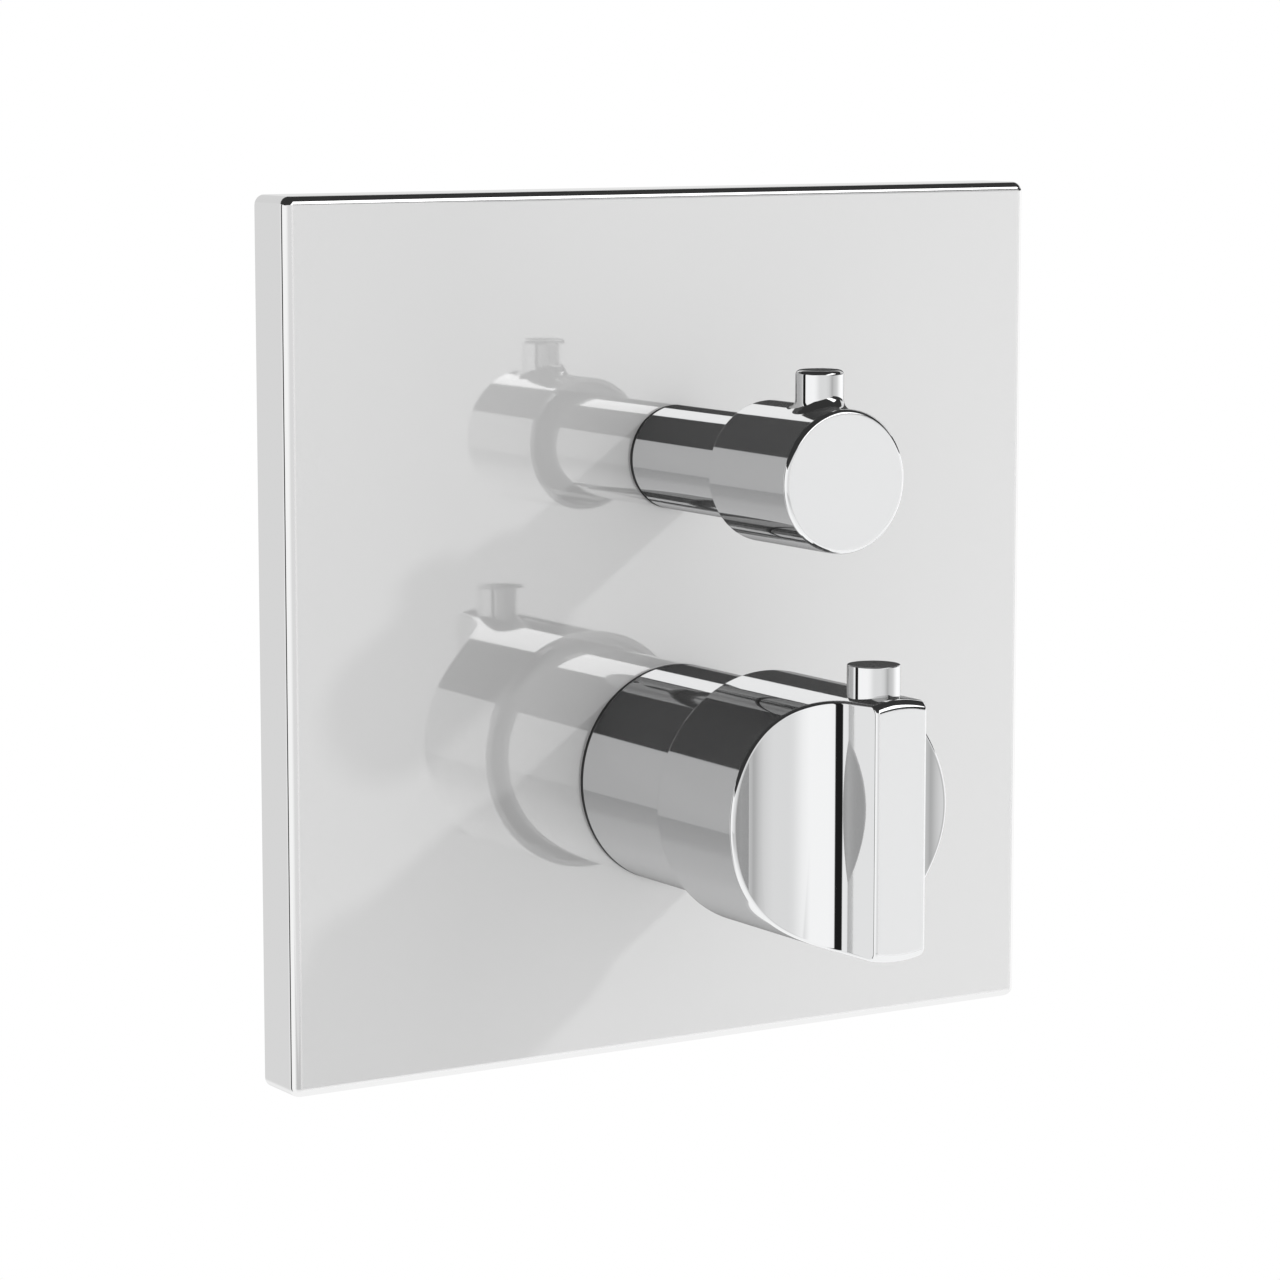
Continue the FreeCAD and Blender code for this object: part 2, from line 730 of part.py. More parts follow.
# Wax element: its pin pushes on the cap, its body carries the mixing shuttle.
hub_front = shuttle_front + shuttle_hub_setback
hub_back = hub_front + shuttle_hub_length
guide_front, guide_back = cap_back + wax_pin_length, hub_front - wax_guide_gap
wax_flange_back = hub_back + wax_flange_thickness
wax_back = hub_back + wax_bulb_length
wax = turned([(cap_back, 0), (cap_back, wax_pin_radius), (guide_front, wax_pin_radius),
              (guide_front, wax_radius - wax_guide_step),
              (guide_back, wax_radius - wax_guide_step), (guide_back, wax_radius),
              (hub_back, wax_radius), (hub_back, wax_radius + wax_flange_step),
              (wax_flange_back, wax_radius + wax_flange_step),
              (wax_flange_back, wax_radius - wax_bulb_step),
              (wax_back, wax_radius - wax_bulb_step), (wax_back, 0)], thermostat_z)
save("wax_element", wax)

web_front = hub_back - shuttle_web
rim_outer = cage_bore - running_gap * 2
rim_inner = rim_outer - shuttle_rim
hub_inner = wax_radius + running_gap
hub_outer = hub_inner + shuttle_hub_wall
shuttle = turned([(shuttle_front, rim_inner), (shuttle_front, rim_outer),
                  (shuttle_back, rim_outer), (shuttle_back, rim_inner),
                  (hub_back, rim_inner), (hub_back, hub_inner), (hub_front, hub_inner),
                  (hub_front, hub_outer), (web_front, hub_outer), (web_front, rim_inner)],
                 thermostat_z)
hole_circle = (hub_outer + rim_inner) / 2
for i in range(water_holes):
    angle = 2 * math.pi * i / water_holes
    shuttle = shuttle.cut(rod_y(water_hole_radius, web_front, hub_back,
                                hole_circle * math.cos(angle),
                                thermostat_z + hole_circle * math.sin(angle)))
save("mixing_shuttle", shuttle)

# Cage: holds the seats; cold water enters in front of the shuttle, hot water behind it.
cage_floor = cage_back - cage_floor_thickness
hot_seat_back = hot_seat_front + seat_width
cold_band = (cold_seat_front - cold_band_front, cold_seat_back + cold_band_back)
hot_band = (hot_seat_front - hot_band_front, hot_seat_back + hot_band_back)
outlet_band_back = cage_floor - outlet_band_setback
outlet_band = (outlet_band_back - outlet_band_length, outlet_band_back)
band_radius = cage_radius - cage_band_depth
cold_seat_bore = seat_bore + cold_seat_relief
cage = turned([(housing_back, cage_bore), (housing_back, cage_radius),
               (cage_back, cage_radius), (cage_back, 0), (cage_floor, 0),
               (cage_floor, cage_bore), (hot_seat_back, cage_bore),
               (hot_seat_back, seat_bore), (hot_seat_front, seat_bore),
               (hot_seat_front, cage_bore), (cold_seat_back, cage_bore),
               (cold_seat_back, cold_seat_bore), (cold_seat_front, cold_seat_bore),
               (cold_seat_front, cage_bore)], thermostat_z)


def windows(shape, front, back):
    """Radial water windows through the cage wall."""
    for k in range(cage_windows):
        slot = block(-window_width / 2, window_width / 2, front, back, cage_bore - cut_past / 2,
                     cage_radius + cut_past)
        slot.rotate(V(0, 0, 0), Y_AXIS, 360.0 * (k + 0.5) / cage_windows)
        slot.translate(V(0, 0, thermostat_z))
        shape = shape.cut(slot)
    return shape


for band_front, band_back in (cold_band, hot_band):
    cage = cage.cut(ring_groove(cage_radius, band_radius, (band_front + band_back) / 2,
                                band_back - band_front, thermostat_z))
cage = windows(cage, cold_seat_back, cold_seat_back + window_length)
cage = windows(cage, hot_seat_front - window_length, hot_seat_front)
cage = windows(cage, *outlet_band)
cage_rings = []
for place_y in ((housing_back + cold_band[0]) / 2, (cold_band[1] + hot_band[0]) / 2,
                (hot_band[1] + outlet_band[0]) / 2):
    cage = cage.cut(ring_groove(cage_radius, cage_radius - cage_cord, place_y,
                                cage_groove_width, thermostat_z))
    cage_rings.append(o_ring(cage_radius + thread_gap / 2, cage_cord,
                             V(0, place_y, thermostat_z), Y_AXIS))
save("cartridge_cage", cage)
save("cartridge_seals", *cage_rings)
save("return_spring", coil(return_spring_radius, return_spring_wire, cage_floor - hub_back,
                           return_spring_turns, V(0, hub_back, thermostat_z), Y_AXIS))

# ---- Flow control headwork ----------------------------------------------------------------
flow_flange_front = flow_boss_front - flow_nut_thickness
disc_front = flow_boss_front + disc_setback
fixed_front = disc_front + disc_thickness
seal_front = fixed_front + disc_thickness
flow_floor = seal_front + disc_seal_thickness
skirt_back = seal_front - skirt_gap
skirt_bore = disc_radius + skirt_clearance
driver_front = disc_front - driver_thickness
flow_barrel_front = barrel_front
flow_housing = turned([(flow_barrel_front, flow_spindle_radius + running_gap),
                       (flow_barrel_front, flow_barrel_radius),
                       (flow_boss_front, flow_barrel_radius),
                       (flow_boss_front, flow_thread_radius), (skirt_back, flow_thread_radius),
                       (skirt_back, skirt_bore), (driver_front - running_gap, skirt_bore),
                       (driver_front - running_gap, flow_spindle_radius + running_gap)],
                      flow_z)
flow_nut = hexagon(flow_hex, flow_flange_front, flow_boss_front, flow_z)
flow_nut = flow_nut.cut(rod_y(flow_barrel_radius - thread_gap, flow_flange_front,
                              flow_boss_front, 0, flow_z))
flow_housing = flow_housing.fuse(flow_nut)
flow_seal_y = skirt_back - flow_thread_seal_setback
save("flow_housing", flow_housing.cut(ring_groove(flow_thread_radius,
                                                  flow_thread_radius - seal_cord, flow_seal_y,
                                                  seal_groove_width, flow_z)))
save("flow_housing_seal", o_ring(flow_thread_radius + thread_gap / 2, seal_cord,
                                 V(0, flow_seal_y, flow_z), Y_AXIS))

flow_spindle = turned([(knob_bore_front, 0), (knob_bore_front, flow_spline_radius - spline_chamfer),
                       (knob_bore_front + spline_chamfer, flow_spline_radius),
                       (flow_barrel_front, flow_spline_radius),
                       (flow_barrel_front, flow_spindle_radius),
                       (driver_front, flow_spindle_radius), (driver_front, disc_radius),
                       (disc_front, disc_radius), (disc_front, 0)], flow_z)
flow_groove = ring_groove(flow_spindle_radius, flow_spindle_radius - seal_floor,
                          flow_spindle_seal_depth, seal_groove_width, flow_z)
save("flow_spindle", flow_spindle.cut(flow_groove))
save("flow_spindle_seal", o_ring(flow_spindle_radius + seal_squeeze, seal_cord,
                                 V(0, flow_spindle_seal_depth, flow_z), Y_AXIS))


def port_place(degrees):
    """Centre of a water port on the discs, by its angle from +X towards +Z."""
    angle = math.radians(degrees)
    return port_circle * math.cos(angle), flow_z + port_circle * math.sin(angle)


mixed_port, shower_port, bath_port = port_place(270), port_place(150), port_place(30)
fixed_disc = rod_y(disc_radius, fixed_front, seal_front, 0, flow_z)
disc_seal = rod_y(disc_radius, seal_front, flow_floor, 0, flow_z)
for port_x, port_z in (mixed_port, shower_port, bath_port):
    fixed_disc = fixed_disc.cut(rod_y(port_radius, fixed_front, seal_front, port_x, port_z))
    disc_seal = disc_seal.cut(rod_y(port_radius, seal_front, flow_floor, port_x, port_z))
save("fixed_disc", fixed_disc)
save("disc_seal", disc_seal)

# The moving disc's blind channel lies over the mixed port and reaches an outlet when turned.
moving_disc = rod_y(disc_radius, disc_front, fixed_front - seat_gap, 0, flow_z)
channel_front = disc_front + disc_thickness / 2
channel_half = port_radius - channel_margin
channel = rod_y(port_circle + channel_half, channel_front, fixed_front, 0, flow_z)
channel = channel.cut(rod_y(port_circle - channel_half, channel_front, fixed_front, 0, flow_z))
channel = channel.common(block(-disc_radius, disc_radius, channel_front, fixed_front,
                               flow_z - disc_radius, flow_z - port_radius))
save("moving_disc", moving_disc.cut(channel))


# ---- Valve body: one brass casting behind the wall ----------------------------------------
def ring_ports(shape, side, depth):
    """Three drilled ports from an inlet into the cartridge chamber."""
    for step in (-1, 0, 1):
        port = rod_x(port_radius, chamber_radius - ring_port_run_in,
                     check_floor + ring_port_run_out, depth,
                     thermostat_z + ring_port_spacing * step)
        shape = shape.cut(port if side > 0 else port.mirror(V(0, 0, 0), X_AXIS))
    return shape


barrel_outer = socket_radius + socket_wall
bypass_x = bath_port[0]
gallery_radius = passage_radius + passage_wall
link_outer = link_radius + link_wall
link_back = bypass_depth + gallery_radius + link_run_out
link_z = thermostat_z - chamber_radius - link_drop
bypass_bottom, bypass_top = link_z - bypass_foot, flow_z + bypass_head
flow_body_radius = flow_chamber_radius + flow_body_wall
lower_outlet_top = thermostat_z - chamber_radius - lower_outlet_gap

casting = [rod_y(body_radius, body_front, body_back, 0, thermostat_z),
           rod_y(flow_body_radius, flow_boss_front, inlet_depth + flow_body_run, 0, flow_z),
           rod_x(barrel_outer, -inlet_reach, inlet_reach, inlet_depth, thermostat_z),
           rod_z(barrel_outer, flow_z + upper_outlet_start, top_reach, 0, inlet_depth),
           rod_z(barrel_outer, -bottom_reach, lower_outlet_top, 0, inlet_depth),
           rod_z(gallery_radius, thermostat_z + riser_foot, flow_z + riser_head, 0, mixed_depth),
           rod_z(gallery_radius, bypass_bottom, bypass_top, bypass_x, bypass_depth),
           rod_y(link_outer, inlet_depth, link_back, bypass_x, link_z)]
bridge = block(-gallery_radius - bridge_left, bypass_x + gallery_radius - bridge_right,
               inlet_depth, bypass_depth + bridge_back, mixed_port[1] - bridge_drop, bypass_top)
bridge = rounded(bridge, bridge_round, lambda e: True)
casting.append(bridge)
flange = block(-bolt_spacing_x / 2 - bolt_edge, bolt_spacing_x / 2 + bolt_edge, flange_depth,
               flange_depth + flange_thickness, bolt_centre_z - bolt_spacing_z / 2 - bolt_edge,
               bolt_centre_z + bolt_spacing_z / 2 + bolt_edge)
flange = rounded(flange, flange_round, lambda e: abs(e.tangentAt(e.FirstParameter).y) > 0.9)
casting.append(flange)
upper_boss_hex = 2 * (flow_body_radius + upper_boss_stand)
casting.append(hexagon(lower_boss_hex, body_front, body_front + boss_hex_length, thermostat_z))
casting.append(hexagon(upper_boss_hex, flow_boss_front, flow_boss_front + boss_hex_length,
                       flow_z))
body = casting[0].multiFuse(casting[1:])

# Cartridge chamber and flow chamber, both open to the front
body = body.cut(rod_y(thread_radius + thread_gap, body_front, housing_back, 0, thermostat_z))
body = body.cut(rod_y(chamber_radius, body_front, chamber_floor, 0, thermostat_z))
body = body.cut(rod_y(flow_chamber_radius, flow_boss_front, flow_floor, 0, flow_z))

# Inlets: socket, check valve bore, ports. Hot water comes in on the left, cold on the right.
for side in (-1, 1):
    bores = [rod_x(socket_radius, inlet_reach - socket_length, inlet_reach, inlet_depth,
                   thermostat_z),
             rod_x(check_radius + running_gap, check_shoulder, inlet_reach, inlet_depth,
                   thermostat_z),
             rod_x(check_radius - check_shelf, check_floor, check_shoulder, inlet_depth,
                   thermostat_z)]
    for bore in bores:
        body = body.cut(bore if side > 0 else bore.mirror(V(0, 0, 0), X_AXIS))
body = ring_ports(body, -1, hot_seat_front - hot_port_offset)
body = ring_ports(body, 1, cold_seat_back + cold_port_offset)

# Outlets: mixed water rises behind the cartridge, the discs send it up or down
shower_x, shower_z = shower_port
body = body.cut(rod_y(port_radius, flow_floor, mixed_depth, *mixed_port))
body = body.cut(rod_z(passage_radius, thermostat_z + chamber_radius - riser_run_in,
                      mixed_port[1] + port_radius + drill_past, 0, mixed_depth))
body = body.cut(rod_y(port_radius, flow_floor, inlet_depth, shower_x, shower_z))
body = body.cut(rod_z(passage_radius, shower_z - port_radius - drill_past,
                      top_reach - socket_length, -seat_port_offset, inlet_depth))
body = body.cut(rod_z(socket_radius, top_reach - socket_length, top_reach, 0, inlet_depth))
body = body.cut(rod_y(port_radius, flow_floor, bypass_depth, *bath_port))
body = body.cut(rod_z(passage_radius, bypass_bottom, bath_port[1] + port_radius + drill_past,
                      bypass_x, bypass_depth))
body = body.cut(rod_y(link_radius, inlet_depth, link_back, bypass_x, link_z))
body = body.cut(rod_z(passage_radius, -bottom_reach, link_z, bypass_x - lower_passage_offset,
                      inlet_depth))
body = body.cut(rod_z(socket_radius, -bottom_reach, -bottom_reach + socket_length, 0,
                      inlet_depth))

# Bolt holes in the mounting flange
for sx in (-1, 1):
    for sz in (-1, 1):
        body = body.cut(rod_y(bolt_hole_radius, flange_depth, flange_depth + flange_thickness,
                              sx * bolt_spacing_x / 2, bolt_centre_z + sz * bolt_spacing_z / 2))
save("valve_body", body.removeSplitter())

# Plugs that close the drilled ends of the bypass
plug_down = rod_z(passage_radius - seat_gap, bypass_bottom, bypass_bottom + plug_length,
                  bypass_x, bypass_depth)
plug_back = rod_y(link_radius - seat_gap, link_back - plug_length, link_back, bypass_x, link_z)
save("passage_plugs", plug_down, plug_back)


# ---- Check valves, one in each inlet -------------------------------------------------------
def outward(profile):
    """Turned piece on the cold inlet's axis: outline of (distance from centre, radius)."""
    points = [V(distance, radius, 0) for distance, radius in profile]
    face = Part.Face(Part.makePolygon(points + points[:1]))
    solid = face.revolve(V(0, 0, 0), X_AXIS, 360)
    solid.translate(V(0, inlet_depth, thermostat_z))
    return solid


spider_outer = check_shoulder + check_spider
seat_inner = check_outer_end - check_seat_setback
seat_outer = seat_inner + check_seat_thickness
guide_hole = poppet_stem_radius + running_gap
check_housing = outward([(check_shoulder, guide_hole), (check_shoulder, check_radius),
                         (check_outer_end, check_radius), (check_outer_end, strainer_bore),
                         (seat_outer, strainer_bore), (seat_outer, check_seat_radius),
                         (seat_inner, check_seat_radius), (seat_inner, check_bore),
                         (spider_outer, check_bore), (spider_outer, guide_hole)])
for i in range(check_holes):
    angle = 2 * math.pi * i / check_holes
    check_housing = check_housing.cut(
        rod_x(check_hole_radius, check_shoulder, spider_outer,
              inlet_depth + check_hole_circle * math.cos(angle),
              thermostat_z + check_hole_circle * math.sin(angle)))
check_seal_x = check_shoulder + check_seal_setback
groove_inner, groove_outer = check_radius - check_cord, check_radius + cut_past
check_groove = outward([(check_seal_x - check_groove_width / 2, groove_inner),
                        (check_seal_x - check_groove_width / 2, groove_outer),
                        (check_seal_x + check_groove_width / 2, groove_outer),
                        (check_seal_x + check_groove_width / 2, groove_inner)])
check_housing = check_housing.cut(check_groove)
stem_tip = check_shoulder + poppet_stem_setback
poppet_face = seat_inner - seat_gap
poppet_shoulder = poppet_face - poppet_thickness
poppet = outward([(stem_tip, 0), (stem_tip, poppet_stem_radius),
                  (poppet_shoulder, poppet_stem_radius),
                  (poppet_shoulder, check_bore - poppet_gap),
                  (poppet_face, check_bore - poppet_gap), (poppet_face, 0)])
strainer_outer = strainer_bore - running_gap
strainer_end = check_outer_end - strainer_setback
strainer_inner = strainer_outer - strainer_wall
floor_outer = seat_outer + strainer_floor
strainer = outward([(seat_outer, 0), (seat_outer, strainer_outer),
                    (strainer_end, strainer_outer), (strainer_end, strainer_inner),
                    (floor_outer, strainer_inner), (floor_outer, 0)])
for step, ring in enumerate(strainer_circles, 1):
    count = strainer_holes * step
    for i in range(count):
        angle = 2 * math.pi * i / count
        strainer = strainer.cut(rod_x(strainer_hole_radius, seat_outer, floor_outer,
                                      inlet_depth + ring * math.cos(angle),
                                      thermostat_z + ring * math.sin(angle)))
check_spring = coil(check_spring_radius, check_spring_wire, poppet_shoulder - spider_outer,
                    check_spring_turns, V(spider_outer, inlet_depth, thermostat_z), X_AXIS)
check_ring = o_ring(check_radius + running_gap / 2, check_cord,
                    V(check_seal_x, inlet_depth, thermostat_z), X_AXIS)


def both_sides(name, shape):
    """Save the cold piece on the right and its mirror image, the hot piece, on the left."""
    save("cold_" + name, shape)
    save("hot_" + name, shape.mirror(V(0, 0, 0), X_AXIS))


both_sides("check_housing", check_housing)
both_sides("check_poppet", poppet)
both_sides("check_spring", check_spring)
both_sides("inlet_strainer", strainer)
save("check_seals", check_ring, check_ring.mirror(V(0, 0, 0), X_AXIS))
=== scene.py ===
import json

import bmesh
import bpy
import numpy as np
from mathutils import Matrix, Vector
from mathutils.geometry import delaunay_2d_cdt


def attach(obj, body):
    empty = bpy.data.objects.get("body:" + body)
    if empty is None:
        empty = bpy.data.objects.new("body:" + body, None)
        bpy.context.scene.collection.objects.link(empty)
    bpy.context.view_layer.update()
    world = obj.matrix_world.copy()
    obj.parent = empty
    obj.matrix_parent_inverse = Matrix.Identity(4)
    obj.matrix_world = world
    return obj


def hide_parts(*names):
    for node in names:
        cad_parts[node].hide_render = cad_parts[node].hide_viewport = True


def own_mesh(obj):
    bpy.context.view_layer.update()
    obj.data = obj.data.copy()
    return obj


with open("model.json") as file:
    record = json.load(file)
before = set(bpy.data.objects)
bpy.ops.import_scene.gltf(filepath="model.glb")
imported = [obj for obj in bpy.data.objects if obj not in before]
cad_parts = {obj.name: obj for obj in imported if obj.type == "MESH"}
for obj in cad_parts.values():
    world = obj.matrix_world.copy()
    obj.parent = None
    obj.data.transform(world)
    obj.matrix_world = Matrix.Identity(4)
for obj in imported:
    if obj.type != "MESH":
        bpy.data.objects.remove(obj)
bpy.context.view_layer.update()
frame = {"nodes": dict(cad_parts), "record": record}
MM = 0.001

# ---- Viewpoint ----------------------------------------------------------------------------
# The valve is seen from the left and a little above, from 85 cm away through a long lens.
EYE = Vector((-445.4, -712.3, 111.0)) * MM
LOOK = Vector((0.52484, 0.84017, -0.13656))
FOCAL_LENGTH, SENSOR_WIDTH = 119.69, 36.0

camera = bpy.data.objects.new("camera", bpy.data.cameras.new("camera"))
camera.data.lens = FOCAL_LENGTH
camera.data.sensor_width = SENSOR_WIDTH
camera.location = EYE
camera.rotation_mode = "QUATERNION"
camera.rotation_quaternion = LOOK.to_track_quat("-Z", "Y")
bpy.context.scene.collection.objects.link(camera)
bpy.context.scene.camera = camera
bpy.context.scene.view_settings.view_transform = "Standard"


# ---- Studio room --------------------------------------------------------------------------
# Polished plate shows the room around it: pale walls with one dark upright gap, a corner at
# the right, a pale floor, a charcoal ceiling with one bright panel. The camera sees white.
class Wire:
    """One output of a shader node. Arithmetic on wires adds the nodes that do it."""

    def __init__(self, tree, socket=None):
        self.tree, self.socket = tree, socket

    def node(self, kind, settings=None, inputs=None, output=0):
        """Adds a node: its settings are made first, then its sockets are set or linked."""
        made = self.tree.nodes.new(kind)
        for name, value in (settings or {}).items():
            if name == "stops":
                ramp = made.color_ramp
                while len(ramp.elements) < len(value):
                    ramp.elements.new(1.0)
                for element, (place, tone) in zip(ramp.elements, value):
                    element.position = place
                    element.color = (*np.broadcast_to(tone, 3), 1)
            else:
                setattr(made, name, value)
        for name, value in (inputs or {}).items():
            if isinstance(value, Wire):
                self.tree.links.new(value.socket, made.inputs[name])
            else:
                made.inputs[name].default_value = value
        return Wire(self.tree, None if output is None else made.outputs[output])

    def math(self, operation, *values):
        return self.node("ShaderNodeMath", {"operation": operation}, dict(enumerate(values)))

    def __add__(self, other):
        return self.math("ADD", self, other)

    def __sub__(self, other):
        return self.math("SUBTRACT", self, other)

    def __rsub__(self, other):
        return self.math("SUBTRACT", other, self)

    def __mul__(self, other):
        return self.math("MULTIPLY", self, other)

    def __truediv__(self, other):
        return self.math("DIVIDE", self, other)

    def __gt__(self, other):
        return self.math("GREATER_THAN", self, other)

    def __lt__(self, other):
        return self.math("LESS_THAN", self, other)

    __radd__, __rmul__ = __add__, __mul__

    def larger(self, other):
        return self.math("MAXIMUM", self, other)

    def step(self, low, high):
        """0 up to low, 1 from high on, smooth between."""
        return self.node("ShaderNodeMapRange", {"interpolation_type": "SMOOTHSTEP"},
                         {"Value": self, "From Min": low, "From Max": high})

    def ramp(self, *stops):
        return self.node("ShaderNodeValToRGB", {"stops": stops}, {"Fac": self})

    def xyz(self):
        outputs = self.node("ShaderNodeSeparateXYZ", None, {"Vector": self}).socket.node.outputs
        return [Wire(self.tree, socket) for socket in outputs]


# The near wall faces the valve, turned this far from it. Heights and distances are shares of
# the distance to the near wall. The right wall is dark above the height of the valance, and
# the ceiling is dark up to a line a little behind the valve. The edges of the valance and of
# the walls are soft over small shares to both sides.
ROOM_TURN = np.radians(-22.9)
CEILING, FLOOR, VALANCE = 0.337, 0.24, 0.10
NEAR_WALL, RIGHT_WALL, BACK_WALL, LEFT_WALL = 1.0, 1.32, 1.3, 1.0
PANEL_ALONG, PANEL_ACROSS = (0.10, 1.0), (0.29, 0.66)
PANEL_TONE, CEILING_TONE, REAR_CEILING_TONE, BRIGHTEST_WALL = 1.62, 0.035, 0.68, 1.1
DARK_CEILING_END = -0.44
VALANCE_SOFT, WALL_EDGE_SOFT, NEARLY_LEVEL = 0.01, 0.015, 0.001
# Tones of the walls by bearing, in degrees to the right of straight ahead
WALL_TONES = ((-180, 0.72), (-150, 0.71), (-140, 0.76), (-126, 0.84), (-120.5, 0.86),
              (-119.5, 0.012), (-105.5, 0.012), (-104.5, 0.93), (-93, 0.96), (-61, 0.96),
              (-50, 0.90), (-43, 0.83), (-36, 0.76), (-29, 0.73), (-5, 0.73), (3, 0.70),
              (11, 0.66), (19, 0.56), (26, 0.45), (30.4, 0.42), (30.8, 0.47), (36, 0.53),
              (43, 0.57), (51, 0.61), (59, 0.69), (67, 0.85), (75, 0.95), (84, 1.05), (100, 1.05),
              (125, 0.90), (148, 0.80), (180, 0.72))
# Tones of the floor by how far below the near wall's foot it is seen, as a share of FLOOR_END.
# Elsewhere the floor starts with its wall's tone and pales to FLOOR_TONE between two depths.
FLOOR_END = 8.0
FLOOR_TONES = ((0.125, 0.55), (0.21, 0.63), (0.25, 0.75), (0.34, 0.82), (0.38, 0.88), (0.94, 0.96))
FLOOR_TONE, FLOOR_PALES, NEAR_FOOT = 0.95, (1.5, 4.5), (0.2, 0.9)

world = bpy.data.worlds.new("studio")
bpy.context.scene.world = world
world.use_nodes = True
world.node_tree.nodes.clear()
sky = Wire(world.node_tree)
east, north, up = sky.node("ShaderNodeTexCoord", output=0).xyz()
ahead_x, ahead_y = float(np.sin(ROOM_TURN)), float(-np.cos(ROOM_TURN))
ahead = east * ahead_x + north * ahead_y
aside = north * ahead_x - east * ahead_y
along_reach = (ahead * (1 / NEAR_WALL)).larger(ahead * (-1 / BACK_WALL))
across_reach = (aside * (1 / RIGHT_WALL)).larger(aside * (-1 / LEFT_WALL))
wall_reach = along_reach.larger(across_reach).larger(NEARLY_LEVEL)
flat_reach = (up * (1 / CEILING)).larger(up * (-1 / FLOOR))
bearing = sky.math("ARCTAN2", east, north * -1.0) * float(0.5 / np.pi) + 0.5
wall_tone = BRIGHTEST_WALL * bearing.ramp(*[(degrees / 360 + 0.5, tone / BRIGHTEST_WALL)
                                            for degrees, tone in WALL_TONES])
right_wall = (across_reach > along_reach) * (aside > 0.0)
over_valance = (up / wall_reach).step(VALANCE - VALANCE_SOFT, VALANCE + VALANCE_SOFT)
under_valance = 1.0 - right_wall * over_valance
wall_tone = wall_tone * under_valance + CEILING_TONE * (1.0 - under_valance)
below = flat_reach / wall_reach
from_foot = 1.0 - sky.math("ABSOLUTE", aside / wall_reach).step(*NEAR_FOOT)
from_foot = from_foot * (ahead > 0.0)
side_floor = wall_tone + (FLOOR_TONE - wall_tone) * below.step(*FLOOR_PALES)
floor_tone = (from_foot * (below * (1 / FLOOR_END)).ramp(*FLOOR_TONES)
              + (1.0 - from_foot) * side_floor)
in_panel = ahead > 0.0
for distance, (start, end) in ((ahead, PANEL_ALONG), (aside, PANEL_ACROSS)):
    place = distance * CEILING / up.larger(NEARLY_LEVEL)
    in_panel = in_panel * (place > start) * (place < end)
at_rear = ahead * CEILING / up.larger(NEARLY_LEVEL) < DARK_CEILING_END
ceiling_tone = (in_panel * (PANEL_TONE - CEILING_TONE) + CEILING_TONE
                + at_rear * (REAR_CEILING_TONE - CEILING_TONE))
upward = up > 0.0
on_flat = below.step(1 - WALL_EDGE_SOFT, 1 + WALL_EDGE_SOFT)
room_tone = (on_flat * (upward * ceiling_tone + (1.0 - upward) * floor_tone)
             + (1.0 - on_flat) * wall_tone)

# The room shows in polished metal only: any other light is soft and plain, and comes more
# from the right than from the left.
ROOM_LIGHT, LIGHT_FROM_RIGHT, BACKDROP_TONE = 0.99, 0.6, 1.0
ray = sky.node("ShaderNodeLightPath").socket.node.outputs
in_gloss, to_camera = Wire(sky.tree, ray["Is Glossy Ray"]), Wire(sky.tree, ray["Is Camera Ray"])
tone = in_gloss * room_tone + (1.0 - in_gloss) * (ROOM_LIGHT + LIGHT_FROM_RIGHT * east)
tone = to_camera * BACKDROP_TONE + (1.0 - to_camera) * tone
backdrop = sky.node("ShaderNodeBackground", None, {"Color": tone, "Strength": 1.0})
sky.node("ShaderNodeOutputWorld", None, {"Surface": backdrop}, output=None)

# ---- Lamp and floor -----------------------------------------------------------------------
# One soft lamp at the right and above gives the knobs their mild shadows on the plate. The
# pale floor lies far below the view, and polished metal doesn't show it.
LAMP_FROM = Vector((0.656, -0.595, 0.464))
LAMP_STRENGTH, LAMP_SPREAD = 0.76, np.radians(3)
FLOOR_DROP, FLOOR_RADIUS, FLOOR_COLOUR = 0.6, 1.15, (0.9, 0.9, 0.9, 1)
FLOOR_CORNERS, FLOOR_FADE_START = 64, 0.45
OBJECT_COORDINATES = 3

lamp = bpy.data.objects.new("lamp", bpy.data.lights.new("lamp", "SUN"))
lamp.data.energy = LAMP_STRENGTH
lamp.data.angle = LAMP_SPREAD
lamp.visible_glossy = False
lamp.rotation_mode = "QUATERNION"
lamp.rotation_quaternion = LAMP_FROM.to_track_quat("Z", "Y")
bpy.context.scene.collection.objects.link(lamp)


def blank_material(name):
    """A material with an empty node tree, and the wire that starts it."""
    made = bpy.data.materials.new(name)
    made.use_nodes = True
    made.node_tree.nodes.clear()
    return made, Wire(made.node_tree)


floor_paint, paint = blank_material("floor_paint")
floor_turn = np.linspace(0, 2 * np.pi, FLOOR_CORNERS, endpoint=False)
floor_rim = np.stack([FLOOR_RADIUS * np.cos(floor_turn), FLOOR_RADIUS * np.sin(floor_turn),
                      np.full_like(floor_turn, -FLOOR_DROP)], axis=1)
floor_mesh = bpy.data.meshes.new("floor")
floor_mesh.from_pydata(floor_rim.tolist(), [], [list(range(FLOOR_CORNERS))])
floor_mesh.materials.append(floor_paint)
floor = bpy.data.objects.new("floor", floor_mesh)
floor.visible_glossy = False
bpy.context.scene.collection.objects.link(floor)
floor_x, floor_y, _ = paint.node("ShaderNodeTexCoord", output=OBJECT_COORDINATES).xyz()
from_middle = paint.math("SQRT", floor_x * floor_x + floor_y * floor_y)
pale = paint.node("ShaderNodeBsdfDiffuse", None, {"Color": FLOOR_COLOUR})
white = paint.node("ShaderNodeEmission", None, {"Color": (1, 1, 1, 1), "Strength": 1.0})
fade = from_middle.step(FLOOR_FADE_START * FLOOR_RADIUS, FLOOR_RADIUS)
